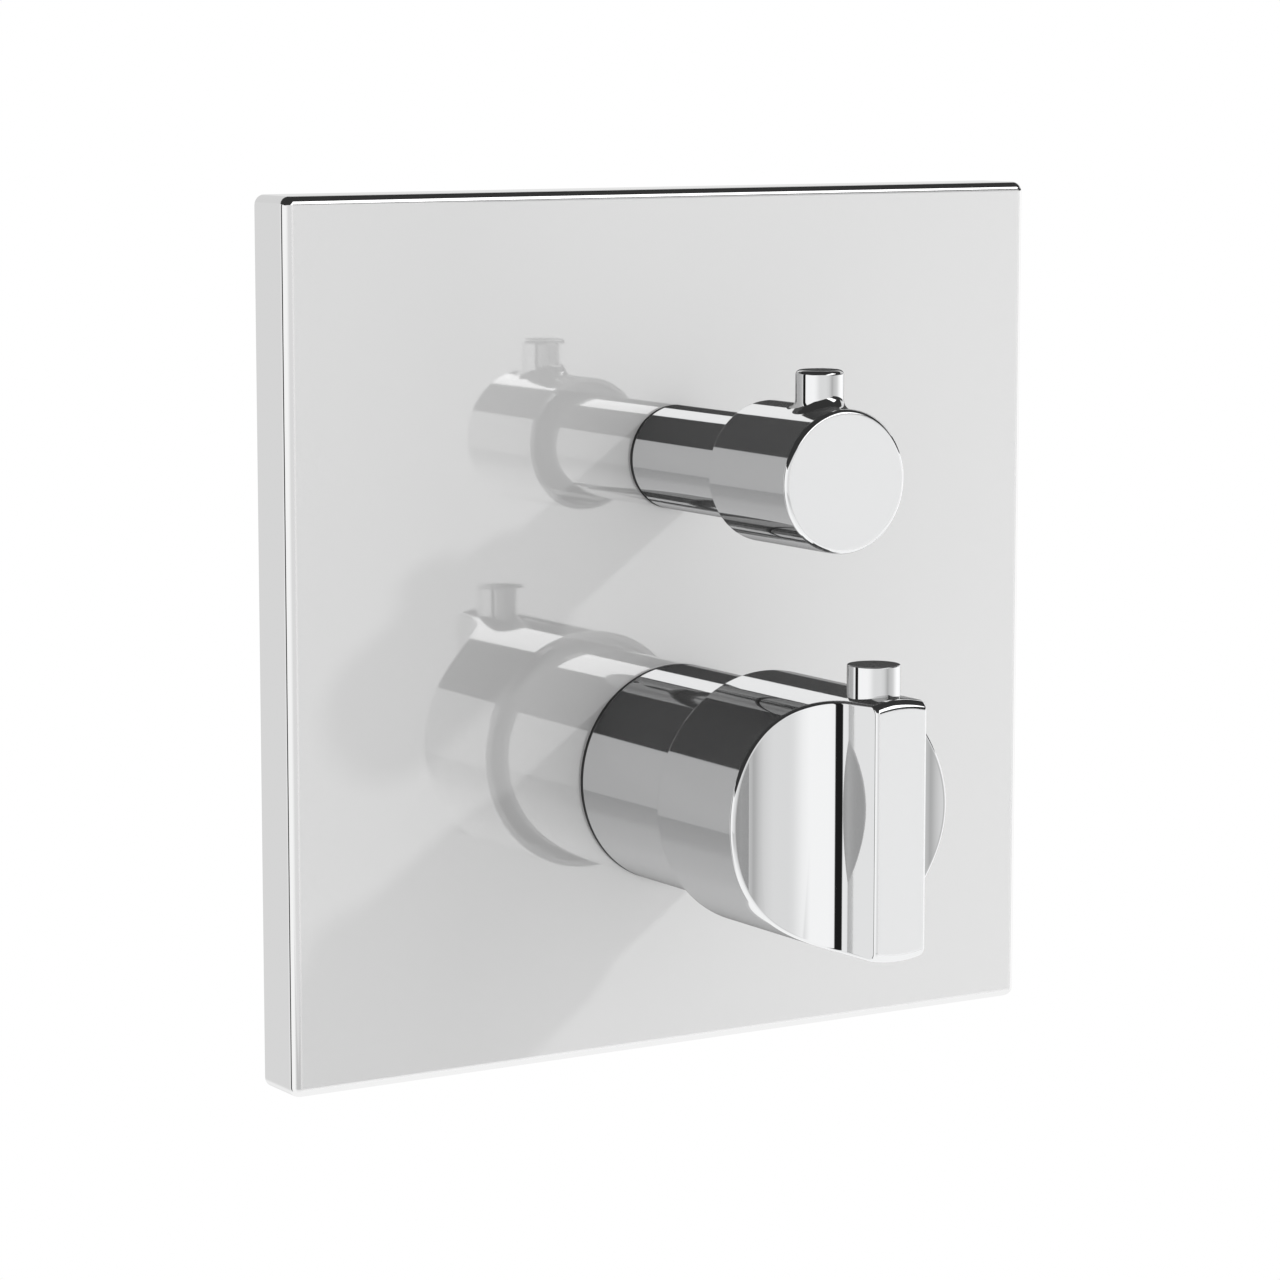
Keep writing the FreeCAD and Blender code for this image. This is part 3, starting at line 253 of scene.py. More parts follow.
mixed = paint.node("ShaderNodeMixShader", None, {0: fade, 1: pale, 2: white})
paint.node("ShaderNodeOutputMaterial", None, {"Surface": mixed}, output=None)


# ---- Wall plate ---------------------------------------------------------------------------
# The square plate is pressed from brass sheet with deep drawn sides, polished and chromed. It
# is held against the wall by the two sleeves, and its front has a pale sheen.
PLATE_HALF, PLATE_FRONT, PLATE_SKIN, PLATE_CORNER, PLATE_EDGE = 85.0, -12.0, 1.6, 2.0, 1.95
SEAL_POCKET, SEAL_DEPTH, CAVITY_HALF = 83.4, -4.0, 79.0
FLOW_Z, THERMOSTAT_Z = 32.8, -29.8
FLOW_HOLE, THERMOSTAT_HOLE = 8.3, 18.3
# The second tint and metal share are painted shade: in reflections in other polished metal the plate
# takes this darker tint and less metal, which dims its reflected image.
PLATE_TINT, PLATE_REFLECTION_SHADE = (0.93, 0.93, 0.93, 1), ((0.54, 0.54, 0.54, 1), 0.905)
PLATE_SMEAR, PLATE_SHEEN, SHEEN_START = 0.035, 0.50, 0.02
SMEAR_LEAST, SMEAR_SPREAD, SMEAR_SCALE = 0.6, 0.8, 45.0
RIPPLE_HEIGHT, RIPPLE_STRENGTH, RIPPLE_SCALE = 0.004, 0.35, 24.0
# Sockets of a colour mix: the share, the two colours and the result
MIX_SHARE, MIX_FIRST, MIX_SECOND, MIX_RESULT = 0, 6, 7, 2
# Points in one weld cell, a cube with sides of WELD millimetres, become one point. The cells
# are shifted by a share of their side, so that no round size falls on the limit of two. Flat
# points nearer than TOUCHING millimetres count as one.
WELD, WELD_SHIFT, TOUCHING = 1e-4, 0.317, 1e-7
CIRCLE_POINTS, PLATE_EDGE_STEPS = 289, 12


class Shell:
    """The skin of a piece in millimetres, as patches whose points carry their true normals."""

    def __init__(self):
        self.spots, self.normals = [], []

    def grid(self, spots, normals):
        """Adds quads between neighbouring rows and columns of points."""
        for store, sheet in ((self.spots, spots), (self.normals, normals)):
            sheet = np.broadcast_to(sheet, spots.shape)
            corners = [sheet[:-1, :-1], sheet[1:, :-1], sheet[1:, 1:], sheet[:-1, 1:]]
            store.append(np.stack(corners, axis=2).reshape(-1, 4, 3))

    def fill(self, loops, inside, lift):
        """Adds triangles over a flat region that closed loops bound, lifted onto the surface.

        Loops and inside points are rows of two coordinates; lift turns such rows into points
        and normals in space. A triangle counts as inside if a line from it to one side
        crosses the loops an odd number of times.
        """
        flat = np.concatenate([*loops, np.reshape(inside, (-1, 2))])
        start = np.arange(sum(map(len, loops)))
        end = np.concatenate([np.roll(np.arange(len(loop)), -1) + sum(map(len, loops[:i]))
                              for i, loop in enumerate(loops)])
        made = delaunay_2d_cdt([Vector(spot) for spot in flat], np.stack([start, end], 1).tolist(),
                               [], 0, TOUCHING)
        triangles = np.array([[made[3][corner][0] for corner in face] for face in made[2]])
        middle = flat[triangles].mean(axis=1)[:, None]
        a, b = flat[start][None], flat[end][None]
        spans = (a[..., 1] > middle[..., 1]) != (b[..., 1] > middle[..., 1])
        rise = np.where(spans, b[..., 1] - a[..., 1], 1.0)
        crossing = a[..., 0] + (middle[..., 1] - a[..., 1]) * (b[..., 0] - a[..., 0]) / rise
        odd = (spans & (middle[..., 0] < crossing)).sum(axis=1) % 2 == 1
        corners = triangles[odd][:, [0, 1, 2, 2]]
        spots, normals = lift(flat)
        self.spots.append(spots[corners])
        self.normals.append(np.broadcast_to(normals, spots.shape)[corners])

    def spin(self, line, centre, axis, angles=None):
        """Adds a turned surface: a line of (along, out) points and normals round an axis."""
        angles = np.linspace(0, 2 * np.pi, CIRCLE_POINTS) if angles is None else angles
        along = np.array([0.0, 1.0, 0.0] if axis == "Y" else [0.0, 0.0, 1.0])
        up = np.array([0.0, 0.0, 1.0] if axis == "Y" else [0.0, 1.0, 0.0])
        out = np.sin(angles)[:, None] * [1.0, 0.0, 0.0] + np.cos(angles)[:, None] * up
        sheets = [part[:, None, :1] * along + part[:, None, 1:] * out for part in line]
        self.grid(sheets[0] + np.array(centre, float), sheets[1])

    def piece(self, name, body, slot, material, *nodes):
        """Welds the patches, faces them outwards and shows them in place of CAD nodes."""
        spots, normals = np.concatenate(self.spots), np.concatenate(self.normals)
        _, first, index = np.unique(np.round(spots.reshape(-1, 3) / WELD + WELD_SHIFT), axis=0,
                                    return_index=True, return_inverse=True)
        index = index.reshape(-1, 4)
        facing = np.cross(spots[:, 2] - spots[:, 0], spots[:, 3] - spots[:, 1])
        wrong = (facing * normals.sum(axis=1)).sum(axis=1) < 0
        index[wrong], normals[wrong] = index[wrong, ::-1], normals[wrong, ::-1]
        fresh = index != np.roll(index, 1, axis=1)
        fresh[fresh.sum(axis=1) < 3] = False
        sizes = fresh.sum(axis=1)
        sizes = sizes[sizes > 0]
        used, corners = np.unique(index[fresh], return_inverse=True)
        mesh = bpy.data.meshes.new(name)
        mesh.vertices.add(len(used))
        mesh.loops.add(len(corners))
        mesh.polygons.add(len(sizes))
        mesh.vertices.foreach_set("co", (spots.reshape(-1, 3)[first][used] * MM).ravel())
        mesh.loops.foreach_set("vertex_index", corners.ravel())
        mesh.polygons.foreach_set("loop_start", np.cumsum(sizes) - sizes)
        mesh.update(calc_edges=True)
        mesh.shade_smooth()
        mesh.normals_split_custom_set(normals[fresh])
        mesh.materials.append(material)
        made = bpy.data.objects.new(name, mesh)
        bpy.context.scene.collection.objects.link(made)
        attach(made, body)
        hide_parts(*nodes)


def cross_product(a, b):
    return a[..., 0] * b[..., 1] - a[..., 1] * b[..., 0]


def outline(corners, closed=True, steps=8):
    """Line through (along, out, rounding) corners, and its normals, on the outer side.

    Each rounding is an arc tangent to both sides of its corner. A sharp corner gives two
    points in one place, one with each side's normal. The body lies on the right of an open
    line.
    """
    corners = np.array(corners, float)
    spots, rounding = corners[:, :2], corners[:, 2]
    count = len(spots)
    area = np.sum(cross_product(spots, np.roll(spots, -1, axis=0)))
    sign = 1.0 if closed and area > 0 else -1.0
    line, normals = [], []
    for i in range(count):
        before, after = spots[i - 1], spots[(i + 1) % count]
        way_in, way_out = [v / np.linalg.norm(v) for v in (spots[i] - before, after - spots[i])]
        if not closed and i == 0:
            way_in = way_out
        if not closed and i == count - 1:
            way_out = way_in
        side_in = sign * np.array([way_in[1], -way_in[0]])
        bend = np.arctan2(cross_product(way_in, way_out), way_in @ way_out)
        back = rounding[i] * np.tan(abs(bend) / 2)
        bulge = np.sign(bend) * sign
        centre = spots[i] - way_in * back - bulge * rounding[i] * side_in
        share = np.linspace(0, bend, steps if rounding[i] > 0 else 2)[:, None]
        facing = np.cos(share) * side_in + np.sin(share) * np.array([-side_in[1], side_in[0]])
        line.append(centre + bulge * rounding[i] * facing)
        normals.append(facing)
    line, normals = np.concatenate(line), np.concatenate(normals)
    if closed:
        line, normals = [np.concatenate([part, part[:1]]) for part in (line, normals)]
    return line, normals


def polished(name, tint, smear, reflection_shade, sheen_front=None, sheen_depth=0.08, sheen_share=0.0):
    """Bright chrome on polished brass, faintly uneven as plating is.

    Seen in other polished metal it takes a darker tint and a smaller share of metal: a painted
    shade that dims its reflected image. Metal at the depth sheen_front, in millimetres, has a
    pale soft sheen to the eye, as strong as its share, which is gone sheen_depth millimetres
    further back.
    """
    made, paint = blank_material(name)
    reflection_shade_tint, reflection_shade_metal = reflection_shade
    place = paint.node("ShaderNodeTexCoord", output=OBJECT_COORDINATES)
    cloud = paint.node("ShaderNodeTexNoise", None,
                       {"Vector": place, "Scale": SMEAR_SCALE, "Detail": 3.0})
    ripple = paint.node("ShaderNodeTexNoise", None,
                        {"Vector": place, "Scale": RIPPLE_SCALE, "Detail": 1.0})
    bump = paint.node("ShaderNodeBump", None, {"Height": ripple, "Strength": RIPPLE_STRENGTH,
                                               "Distance": RIPPLE_HEIGHT * MM})
    gloss = Wire(paint.tree, paint.node("ShaderNodeLightPath").socket.node.outputs["Is Glossy Ray"])
    # Painted shade: glossy rays get the darker tint and less metal, so the metal looks dimmer in
    # reflections than it does to the eye.
    colour = paint.node("ShaderNodeMix", {"data_type": "RGBA"},
                        {MIX_SHARE: gloss, MIX_FIRST: tint, MIX_SECOND: reflection_shade_tint},
                        output=MIX_RESULT)
    metallic = 1.0 - gloss * (1.0 - reflection_shade_metal)
    if sheen_front is not None:
        depth = place.xyz()[1]
        sheen = 1.0 - depth.step((sheen_front + SHEEN_START) * MM,
                                 (sheen_front + sheen_depth) * MM)
        metallic = metallic - (1.0 - gloss) * sheen * sheen_share
    surface = paint.node("ShaderNodeBsdfPrincipled", None,
                         {"Base Color": colour, "Metallic": metallic, "Normal": bump,
                          "Roughness": smear * (SMEAR_LEAST + SMEAR_SPREAD * cloud)})
    paint.node("ShaderNodeOutputMaterial", None, {"Surface": surface}, output=None)
    return made


def square_ring(half, corner, steps=7):
    """Points round a square with rounded corners, as (x, z), and their outward normals."""
    angle = np.radians(90 * np.arange(4)[:, None] + np.linspace(0, 90, steps)).ravel()
    middle = np.repeat([[1, 1], [-1, 1], [-1, -1], [1, -1]], steps, axis=0) * (half - corner)
    facing = np.stack([np.cos(angle), np.sin(angle)], axis=1)
    return middle + corner * facing, facing


def square_sweep(shell, rows):
    """Square rings swept through rows of (half side, corner, depth, outward, rearward)."""
    spots, normals = [], []
    for half, corner, depth, outward, rearward in rows:
        ring, facing = square_ring(half, corner)
        ring, facing = [np.concatenate([part, part[:1]]) for part in (ring, facing)]
        spots.append(np.insert(ring, 1, depth, axis=1))
        normals.append(np.insert(outward * facing, 1, rearward, axis=1))
    shell.grid(np.array(spots), np.array(normals))


def plate_face(shell, half, corner, depth, rearward):
    """Flat face of the plate with the holes for both headworks."""
    turn = np.linspace(0, 2 * np.pi, CIRCLE_POINTS)[:-1]
    holes = [np.stack([radius * np.sin(turn), z + radius * np.cos(turn)], axis=1)
             for radius, z in ((FLOW_HOLE, FLOW_Z), (THERMOSTAT_HOLE, THERMOSTAT_Z))]
    shell.fill([square_ring(half, corner)[0], *holes], [],
               lambda flat: (np.insert(flat, 1, depth, axis=1), [0.0, rearward, 0.0]))


plate = Shell()
front_round = [(PLATE_HALF - PLATE_EDGE * (1 - np.cos(angle)),
                PLATE_CORNER - PLATE_EDGE * (1 - np.cos(angle)),
                PLATE_FRONT + PLATE_EDGE * (1 - np.sin(angle)), np.cos(angle), -np.sin(angle))
               for angle in np.linspace(0, np.pi / 2, PLATE_EDGE_STEPS)]
square_sweep(plate, [(SEAL_POCKET, 0, 0, 0, 1), (PLATE_HALF, PLATE_CORNER, 0, 0, 1)])
square_sweep(plate, [(PLATE_HALF, PLATE_CORNER, 0, 1, 0), *front_round])
square_sweep(plate, [(SEAL_POCKET, 0, 0, -1, 0), (SEAL_POCKET, 0, SEAL_DEPTH, -1, 0)])
square_sweep(plate, [(SEAL_POCKET, 0, SEAL_DEPTH, 0, 1), (CAVITY_HALF, 0, SEAL_DEPTH, 0, 1)])
square_sweep(plate, [(CAVITY_HALF, 0, SEAL_DEPTH, -1, 0),
                     (CAVITY_HALF, 0, PLATE_FRONT + PLATE_SKIN, -1, 0)])
plate_face(plate, PLATE_HALF - PLATE_EDGE, PLATE_CORNER - PLATE_EDGE, PLATE_FRONT, -1.0)
plate_face(plate, CAVITY_HALF, 0, PLATE_FRONT + PLATE_SKIN, 1.0)
for radius, z in ((FLOW_HOLE, FLOW_Z), (THERMOSTAT_HOLE, THERMOSTAT_Z)):
    hole = np.array([(PLATE_FRONT, radius), (PLATE_FRONT + PLATE_SKIN, radius)])
    plate.spin((hole, np.array([(0, -1), (0, -1)])), (0, 0, z), "Y")
plate_metal = polished("plate_chrome", PLATE_TINT, PLATE_SMEAR, PLATE_REFLECTION_SHADE, PLATE_FRONT,
                       sheen_share=PLATE_SHEEN)
plate.piece("plate", "fixed_body", "plate_chrome", plate_metal, "wall_plate")

# ---- Sleeves ------------------------------------------------------------------------------
# Drawn brass tubes, chromed. Each screws on its headwork with a threaded collar and so
# presses its rubber ring and the plate against the wall.
SLEEVE_BACK, COLLAR_FRONT = -12.8, -20.0
SLEEVE_FOOT_ROUND, SLEEVE_FRONT_ROUND, COLLAR_FOOT_ROUND, COLLAR_ROUND = 0.15, 0.5, 0.1, 0.3
# Outer radius, bore, bore of the collar, front, height of the axis
SLEEVES = {"flow_sleeve": (10.2, 8.9, 8.1, -51.7, FLOW_Z),
           "thermostat_sleeve": (21.6, 20.3, 18.1, -51.0, THERMOSTAT_Z)}
# The second tint and metal share are painted shade that dims the chrome's image in reflections in
# other polished metal.
CHROME_TINT, CHROME_REFLECTION_SHADE = (0.93, 0.935, 0.94, 1), ((0.44, 0.44, 0.44, 1), 0.86)
CHROME_SMEAR = 0.025
chrome = polished("chrome", CHROME_TINT, CHROME_SMEAR, CHROME_REFLECTION_SHADE)
for node, (radius, bore, collar, front, z) in SLEEVES.items():
    tube = Shell()
    wall = [(SLEEVE_BACK, collar, COLLAR_FOOT_ROUND), (SLEEVE_BACK, radius, SLEEVE_FOOT_ROUND),
            (front, radius, SLEEVE_FRONT_ROUND), (front, bore, COLLAR_ROUND),
            (COLLAR_FRONT, bore, COLLAR_ROUND), (COLLAR_FRONT, collar, COLLAR_ROUND)]
    tube.spin(outline(wall), (0, 0, z), "Y")
    tube.piece(node + "_tube", "fixed_body", "chrome", chrome, node)


# ---- Flow knob ----------------------------------------------------------------------------
# One brass casting with its upright grip pin, turned, polished and chromed. A splined plastic
# bush in its bore sits on the spindle, and a grub screw from below locks it.
KNOB_RADIUS, KNOB_FRONT, KNOB_BACK = 13.4, -71.0, -45.0
KNOB_RECESS, KNOB_BORE, KNOB_RECESS_FRONT, KNOB_BORE_FRONT = 12.3, 8.05, -53.7, -66.0
KNOB_ROUND, KNOB_REAR_ROUND, KNOB_RECESS_ROUND, KNOB_SHEEN = 1.0, 0.275, 0.2, 0.56
PIN_RADIUS, PIN_Y, PIN_TOP, PIN_ROOT, PIN_TOP_ROUND = 4.5, -62.1, 20.2, 2.4, 0.9
SCREW_HOLE, KNOB_SCREW_Y, HOLE_FLOOR = 2.1, -59.85, 8.6
FULL_TURN = np.linspace(-np.pi / 2, 3 * np.pi / 2, CIRCLE_POINTS)
HOLE_POINTS, SEAM_POINTS, PIN_POINTS, ROOT_STEPS = 97, 24, 193, 11
# Points inside the side of a bar: the steps between them, in radians and in millimetres, and
# how far they keep from the seam, in radians, and in millimetres from the foremost point, the
# front edge and the back edge
SIDE_TURN, SIDE_STEP = 0.045, 1.1
SEAM_MARGIN, FRONT_MARGIN, EDGE_MARGIN, BACK_MARGIN = 0.021, 0.9, 0.3, 0.5


def drill(shell, radius, z, up, hole, depth, floor):
    """Round hole into the side of a bar along Y, from above or below, down to a flat floor.

    Returns its mouth, unrolled on the bar's surface as (arc length, depth).
    """
    turn = np.linspace(0, 2 * np.pi, HOLE_POINTS)
    across, along = hole * np.sin(turn), depth + hole * np.cos(turn)
    mouth = up * np.sqrt(radius ** 2 - across ** 2)
    rings = [np.stack([across, along, z + height], axis=1)
             for height in (mouth, np.full_like(mouth, up * floor))]
    wall = np.stack([-np.sin(turn), -np.cos(turn), np.zeros_like(turn)], axis=1)
    shell.grid(np.array(rings), wall[None])
    centre = np.broadcast_to([0, depth, z + up * floor], rings[1].shape)
    shell.grid(np.array([rings[1], centre]), np.array([0.0, 0.0, up]))
    angle = np.arctan2(across, mouth)
    angle = np.where(angle < -np.pi / 2, angle + 2 * np.pi, angle)
    return np.stack([radius * angle, along], axis=1)[:-1]


def side(shell, radius, z, front, back, mouths):
    """Side of a bar along Y, unrolled: front and back edges as rows, with holes in it."""
    seam = np.linspace(front[0, 1], back[0, 1], SEAM_POINTS)[1:-1, None]
    right, left = [np.insert(seam, 0, edge[0], axis=1) for edge in (front[-1], front[0])]
    loop = np.concatenate([front, right, back[::-1], left[::-1]])
    angle = np.arange(-np.pi / 2 + SEAM_MARGIN, 3 * np.pi / 2, SIDE_TURN)
    depth = np.arange(front[:, 1].min() + FRONT_MARGIN, back[0, 1] - BACK_MARGIN, SIDE_STEP)
    inside = np.stack(np.meshgrid(radius * angle, depth), axis=2).reshape(-1, 2)
    edge = np.interp(inside[:, 0], front[:, 0], front[:, 1])
    inside = inside[inside[:, 1] > edge + EDGE_MARGIN]

    def lift(flat):
        turn = flat[:, 0] / radius
        facing = np.stack([np.sin(turn), 0 * turn, np.cos(turn)], axis=1)
        spots = radius * facing
        spots[:, 1] = flat[:, 1]
        spots[:, 2] += z
        return spots, facing

    shell.fill([loop, *mouths], inside, lift)


knob = Shell()
knob.spin(outline([(KNOB_FRONT, 0, 0), (KNOB_FRONT, KNOB_RADIUS, KNOB_ROUND),
                   (KNOB_FRONT + KNOB_ROUND, KNOB_RADIUS, 0)], closed=False, steps=12),
          (0, 0, FLOW_Z), "Y", FULL_TURN)
knob.spin(outline([(KNOB_BACK - KNOB_REAR_ROUND, KNOB_RADIUS, 0),
                   (KNOB_BACK, KNOB_RADIUS, KNOB_REAR_ROUND),
                   (KNOB_BACK, KNOB_RECESS, KNOB_RECESS_ROUND),
                   (KNOB_RECESS_FRONT, KNOB_RECESS, 0), (KNOB_RECESS_FRONT, KNOB_BORE, 0),
                   (KNOB_BORE_FRONT, KNOB_BORE, 0), (KNOB_BORE_FRONT, 0, 0)], closed=False),
          (0, 0, FLOW_Z), "Y", FULL_TURN)

# A ball of the root's radius rolls round the pin on the knob: its centre keeps its distance
# from both, and the root's surface is the arc between its two points of contact.
pin_turn = np.linspace(0, 2 * np.pi, PIN_POINTS)
root_x = (PIN_RADIUS + PIN_ROOT) * np.sin(pin_turn)
root_y = PIN_Y + (PIN_RADIUS + PIN_ROOT) * np.cos(pin_turn)
root_z = np.sqrt((KNOB_RADIUS + PIN_ROOT) ** 2 - root_x ** 2)
root_ball = np.stack([root_x, root_y, FLOW_Z + root_z], axis=1)
to_pin = np.stack([np.sin(pin_turn), np.cos(pin_turn), 0 * pin_turn], axis=1)
to_knob = np.stack([root_x, 0 * pin_turn, root_z], axis=1) / (KNOB_RADIUS + PIN_ROOT)


def arc_between(first, last, steps):
    """Unit vectors that turn evenly from each vector of one row to that of another.

    Each is the sum of both, weighted by the sines of the angles to the other one.
    """
    angle = np.arccos(np.clip((first * last).sum(axis=1), -1, 1))[:, None]
    safe = np.where(angle < 1e-6, 1.0, angle)
    return np.array([(np.sin((1 - t) * safe) * first + np.sin(t * safe) * last) / np.sin(safe)
                     if t not in (0, 1) else (first if t == 0 else last)
                     for t in np.linspace(0, 1, steps)])


root_facing = arc_between(to_pin, to_knob, ROOT_STEPS)
root = root_ball - PIN_ROOT * root_facing
knob.grid(root, root_facing)
top_line, top_facing = outline([(PIN_TOP - PIN_TOP_ROUND, PIN_RADIUS, 0),
                                (PIN_TOP, PIN_RADIUS, PIN_TOP_ROUND), (PIN_TOP, 0, 0)],
                               closed=False, steps=12)
knob.spin((top_line, top_facing), (0, PIN_Y, FLOW_Z), "Z", pin_turn)
pin_rim = np.stack([PIN_RADIUS * np.sin(pin_turn), PIN_Y + PIN_RADIUS * np.cos(pin_turn),
                    np.full_like(pin_turn, FLOW_Z + PIN_TOP - PIN_TOP_ROUND)], axis=1)
knob.grid(np.array([pin_rim, root[0]]), to_pin[None])

foot = np.stack([KNOB_RADIUS * np.arctan2(root_x, root_z), root_y], axis=1)[:-1]
edges = [np.stack([KNOB_RADIUS * FULL_TURN, np.full_like(FULL_TURN, depth)], axis=1)
         for depth in (KNOB_FRONT + KNOB_ROUND, KNOB_BACK - KNOB_REAR_ROUND)]
side(knob, KNOB_RADIUS, FLOW_Z, *edges,
     [foot, drill(knob, KNOB_RADIUS, FLOW_Z, -1, SCREW_HOLE, KNOB_SCREW_Y, HOLE_FLOOR)])
knob.piece("knob", "flow_control", "chrome",
           polished("knob_chrome", CHROME_TINT, CHROME_SMEAR, CHROME_REFLECTION_SHADE, KNOB_FRONT,
                    sheen_share=KNOB_SHEEN),
           "flow_knob")

# ---- Thermostat handle --------------------------------------------------------------------
# One brass casting, polished and chromed: a cylinder with a scoop at each side, which leave
# an upright grip bar. A button in the bar's top frees it past its safe temperature.
HANDLE_RADIUS, HANDLE_FRONT, HANDLE_BACK = 24.4, -89.4, -44.3
HANDLE_ROUND, RIM_ROUND, HANDLE_REAR_ROUND = 2.0, 0.8, 0.375
BAR_HALF, BAR_DRAFT, SCOOP_RADIUS, SCOOP_Y = 5.6, np.radians(6.3), 13.5, -83.1
BUTTON_HOLE, BUTTON_Y, BUTTON_FLOOR, HANDLE_SCREW_Y = 4.98, -80.15, 17.4, -67.5
# Radius and front of each bore, and the rounding at the mouth of the widest
HANDLE_BORES, HANDLE_BORE_ROUND = ((22.9, -53.0), (19.5, -63.0), (8.05, -72.5)), 0.3
HANDLE_SHEEN_DEPTH = 0.06
ARC_POINTS, FRONT_POINTS, FLANK_POINTS, BAR_POINTS, RIM_STEPS = 80, 13, 6, 17, 9
SCOOP_X = (BAR_HALF + SCOOP_RADIUS * np.cos(BAR_DRAFT)
           + (SCOOP_Y - HANDLE_FRONT + SCOOP_RADIUS * np.sin(BAR_DRAFT)) * np.tan(BAR_DRAFT))

# A ball of the rim's radius rolls along the right scoop's upper edge, touching the scoop and
# the turned body. Its middle starts at the far right, follows the scoop's arc inwards and the
# bar's drafted side forwards, and ends where the bar's rounded end meets the flat front.
rim_reach, arc_reach = HANDLE_RADIUS - RIM_ROUND, SCOOP_RADIUS + RIM_ROUND
arc_end = np.arcsin((SCOOP_X - arc_reach * np.cos(BAR_DRAFT)) / rim_reach)
arc_turn = np.linspace(np.pi / 2, arc_end, ARC_POINTS)
on_arc = np.arccos((SCOOP_X - rim_reach * np.sin(arc_turn)) / arc_reach)
arc_ball = np.stack([SCOOP_X - arc_reach * np.cos(on_arc), SCOOP_Y + arc_reach * np.sin(on_arc)], 1)
front_turn = np.linspace(0, np.pi / 2, FRONT_POINTS)
round_y = HANDLE_FRONT + HANDLE_ROUND - (HANDLE_ROUND - RIM_ROUND) * np.sin(front_turn)
flank_y = np.concatenate([np.linspace(arc_ball[-1, 1], round_y[0], FLANK_POINTS)[1:-1], round_y])
flank_x = (BAR_HALF + (flank_y - RIM_ROUND * np.sin(BAR_DRAFT) - HANDLE_FRONT) * np.tan(BAR_DRAFT)
           - RIM_ROUND * np.cos(BAR_DRAFT))
ball_x, ball_y = np.concatenate([arc_ball, np.stack([flank_x, flank_y], axis=1)]).T
on_arc = np.concatenate([on_arc, np.full_like(flank_y, BAR_DRAFT)])
to_scoop = np.stack([np.cos(on_arc), -np.sin(on_arc), 0 * on_arc], axis=1)
tilt = np.concatenate([np.zeros(len(ball_x) - FRONT_POINTS), front_turn])
ball_reach = HANDLE_RADIUS - HANDLE_ROUND + (HANDLE_ROUND - RIM_ROUND) * np.cos(tilt)
ball_z = np.sqrt(np.clip(ball_reach ** 2 - ball_x ** 2, 0, None))
azimuth = np.arctan2(ball_x, ball_z)
handle = Shell()
for right in (1, -1):
    ends = []
    for up in (1, -1):
        ball = np.stack([right * ball_x, ball_y, THERMOSTAT_Z + up * ball_z], axis=1)
        to_body = np.stack([right * np.sin(azimuth) * np.cos(tilt), -np.sin(tilt),
                            up * np.cos(azimuth) * np.cos(tilt)], axis=1)
        rim_facing = arc_between(to_scoop * [right, 1, 1], to_body, RIM_STEPS)
        rim = ball + RIM_ROUND * rim_facing
        handle.grid(rim, rim_facing)
        ends.append((rim[0], rim[:, -1], rim_facing[:, -1]))
    handle.grid(np.array([ends[0][0], ends[1][0]]), (to_scoop * [right, 1, 1])[None])
    handle.grid(np.array([ends[0][1], ends[1][1]]), ends[0][2][None])

# The rounded ends of the bar, and its flat front between them
end_turn = azimuth[-FRONT_POINTS:, None] * np.linspace(-1, 1, BAR_POINTS)
end_reach = HANDLE_RADIUS - HANDLE_ROUND + HANDLE_ROUND * np.cos(front_turn)[:, None]
end_y = HANDLE_FRONT + HANDLE_ROUND - HANDLE_ROUND * np.sin(front_turn)[:, None] + 0 * end_turn
bar_ends = []
for up in (1, -1):
    bar_end = np.stack([end_reach * np.sin(end_turn), end_y,
                        THERMOSTAT_Z + up * end_reach * np.cos(end_turn)], axis=2)
    end_facing = np.stack([np.sin(end_turn) * np.cos(front_turn)[:, None],
                           -np.sin(front_turn)[:, None] + 0 * end_turn,
                           up * np.cos(end_turn) * np.cos(front_turn)[:, None]], axis=2)
    handle.grid(bar_end, end_facing)
    bar_ends.append(bar_end[-1])
handle.grid(np.array(bar_ends), np.array([0.0, -1.0, 0.0]))

# Front edge of the outer cylinder, unrolled: above from left to right, then below and back
deep = len(ball_x) - FRONT_POINTS + 1
right_edge = np.stack([azimuth[:deep], ball_y[:deep]], axis=1)
flat_edge = np.stack([end_turn[0, 1:-1], end_y[0, 1:-1]], axis=1)
upper = np.concatenate([right_edge * [-1, 1], flat_edge, right_edge[::-1]])
lower = np.stack([np.pi - upper[:, 0], upper[:, 1]], axis=1)[::-1]
rim_edge = np.concatenate([upper, lower[1:]])
ring_turn = rim_edge[:, 0]
rim_edge = rim_edge * [HANDLE_RADIUS, 1]
rear_edge = np.stack([rim_edge[:, 0],
                      np.full_like(ring_turn, HANDLE_BACK - HANDLE_REAR_ROUND)], axis=1)
mouths = [drill(handle, HANDLE_RADIUS, THERMOSTAT_Z, 1, BUTTON_HOLE, BUTTON_Y, BUTTON_FLOOR),
          drill(handle, HANDLE_RADIUS, THERMOSTAT_Z, -1, SCREW_HOLE, HANDLE_SCREW_Y, HOLE_FLOOR)]
side(handle, HANDLE_RADIUS, THERMOSTAT_Z, rim_edge, rear_edge, mouths)
steps_in = [(HANDLE_BACK - HANDLE_REAR_ROUND, HANDLE_RADIUS, 0),
            (HANDLE_BACK, HANDLE_RADIUS, HANDLE_REAR_ROUND),
            (HANDLE_BACK, HANDLE_BORES[0][0], HANDLE_BORE_ROUND)]
for (bore, front), inner in zip(HANDLE_BORES, (*[bore for bore, _ in HANDLE_BORES[1:]], 0)):
    steps_in += [(front, bore, 0), (front, inner, 0)]
handle.spin(outline(steps_in, closed=False), (0, 0, THERMOSTAT_Z), "Y", ring_turn)
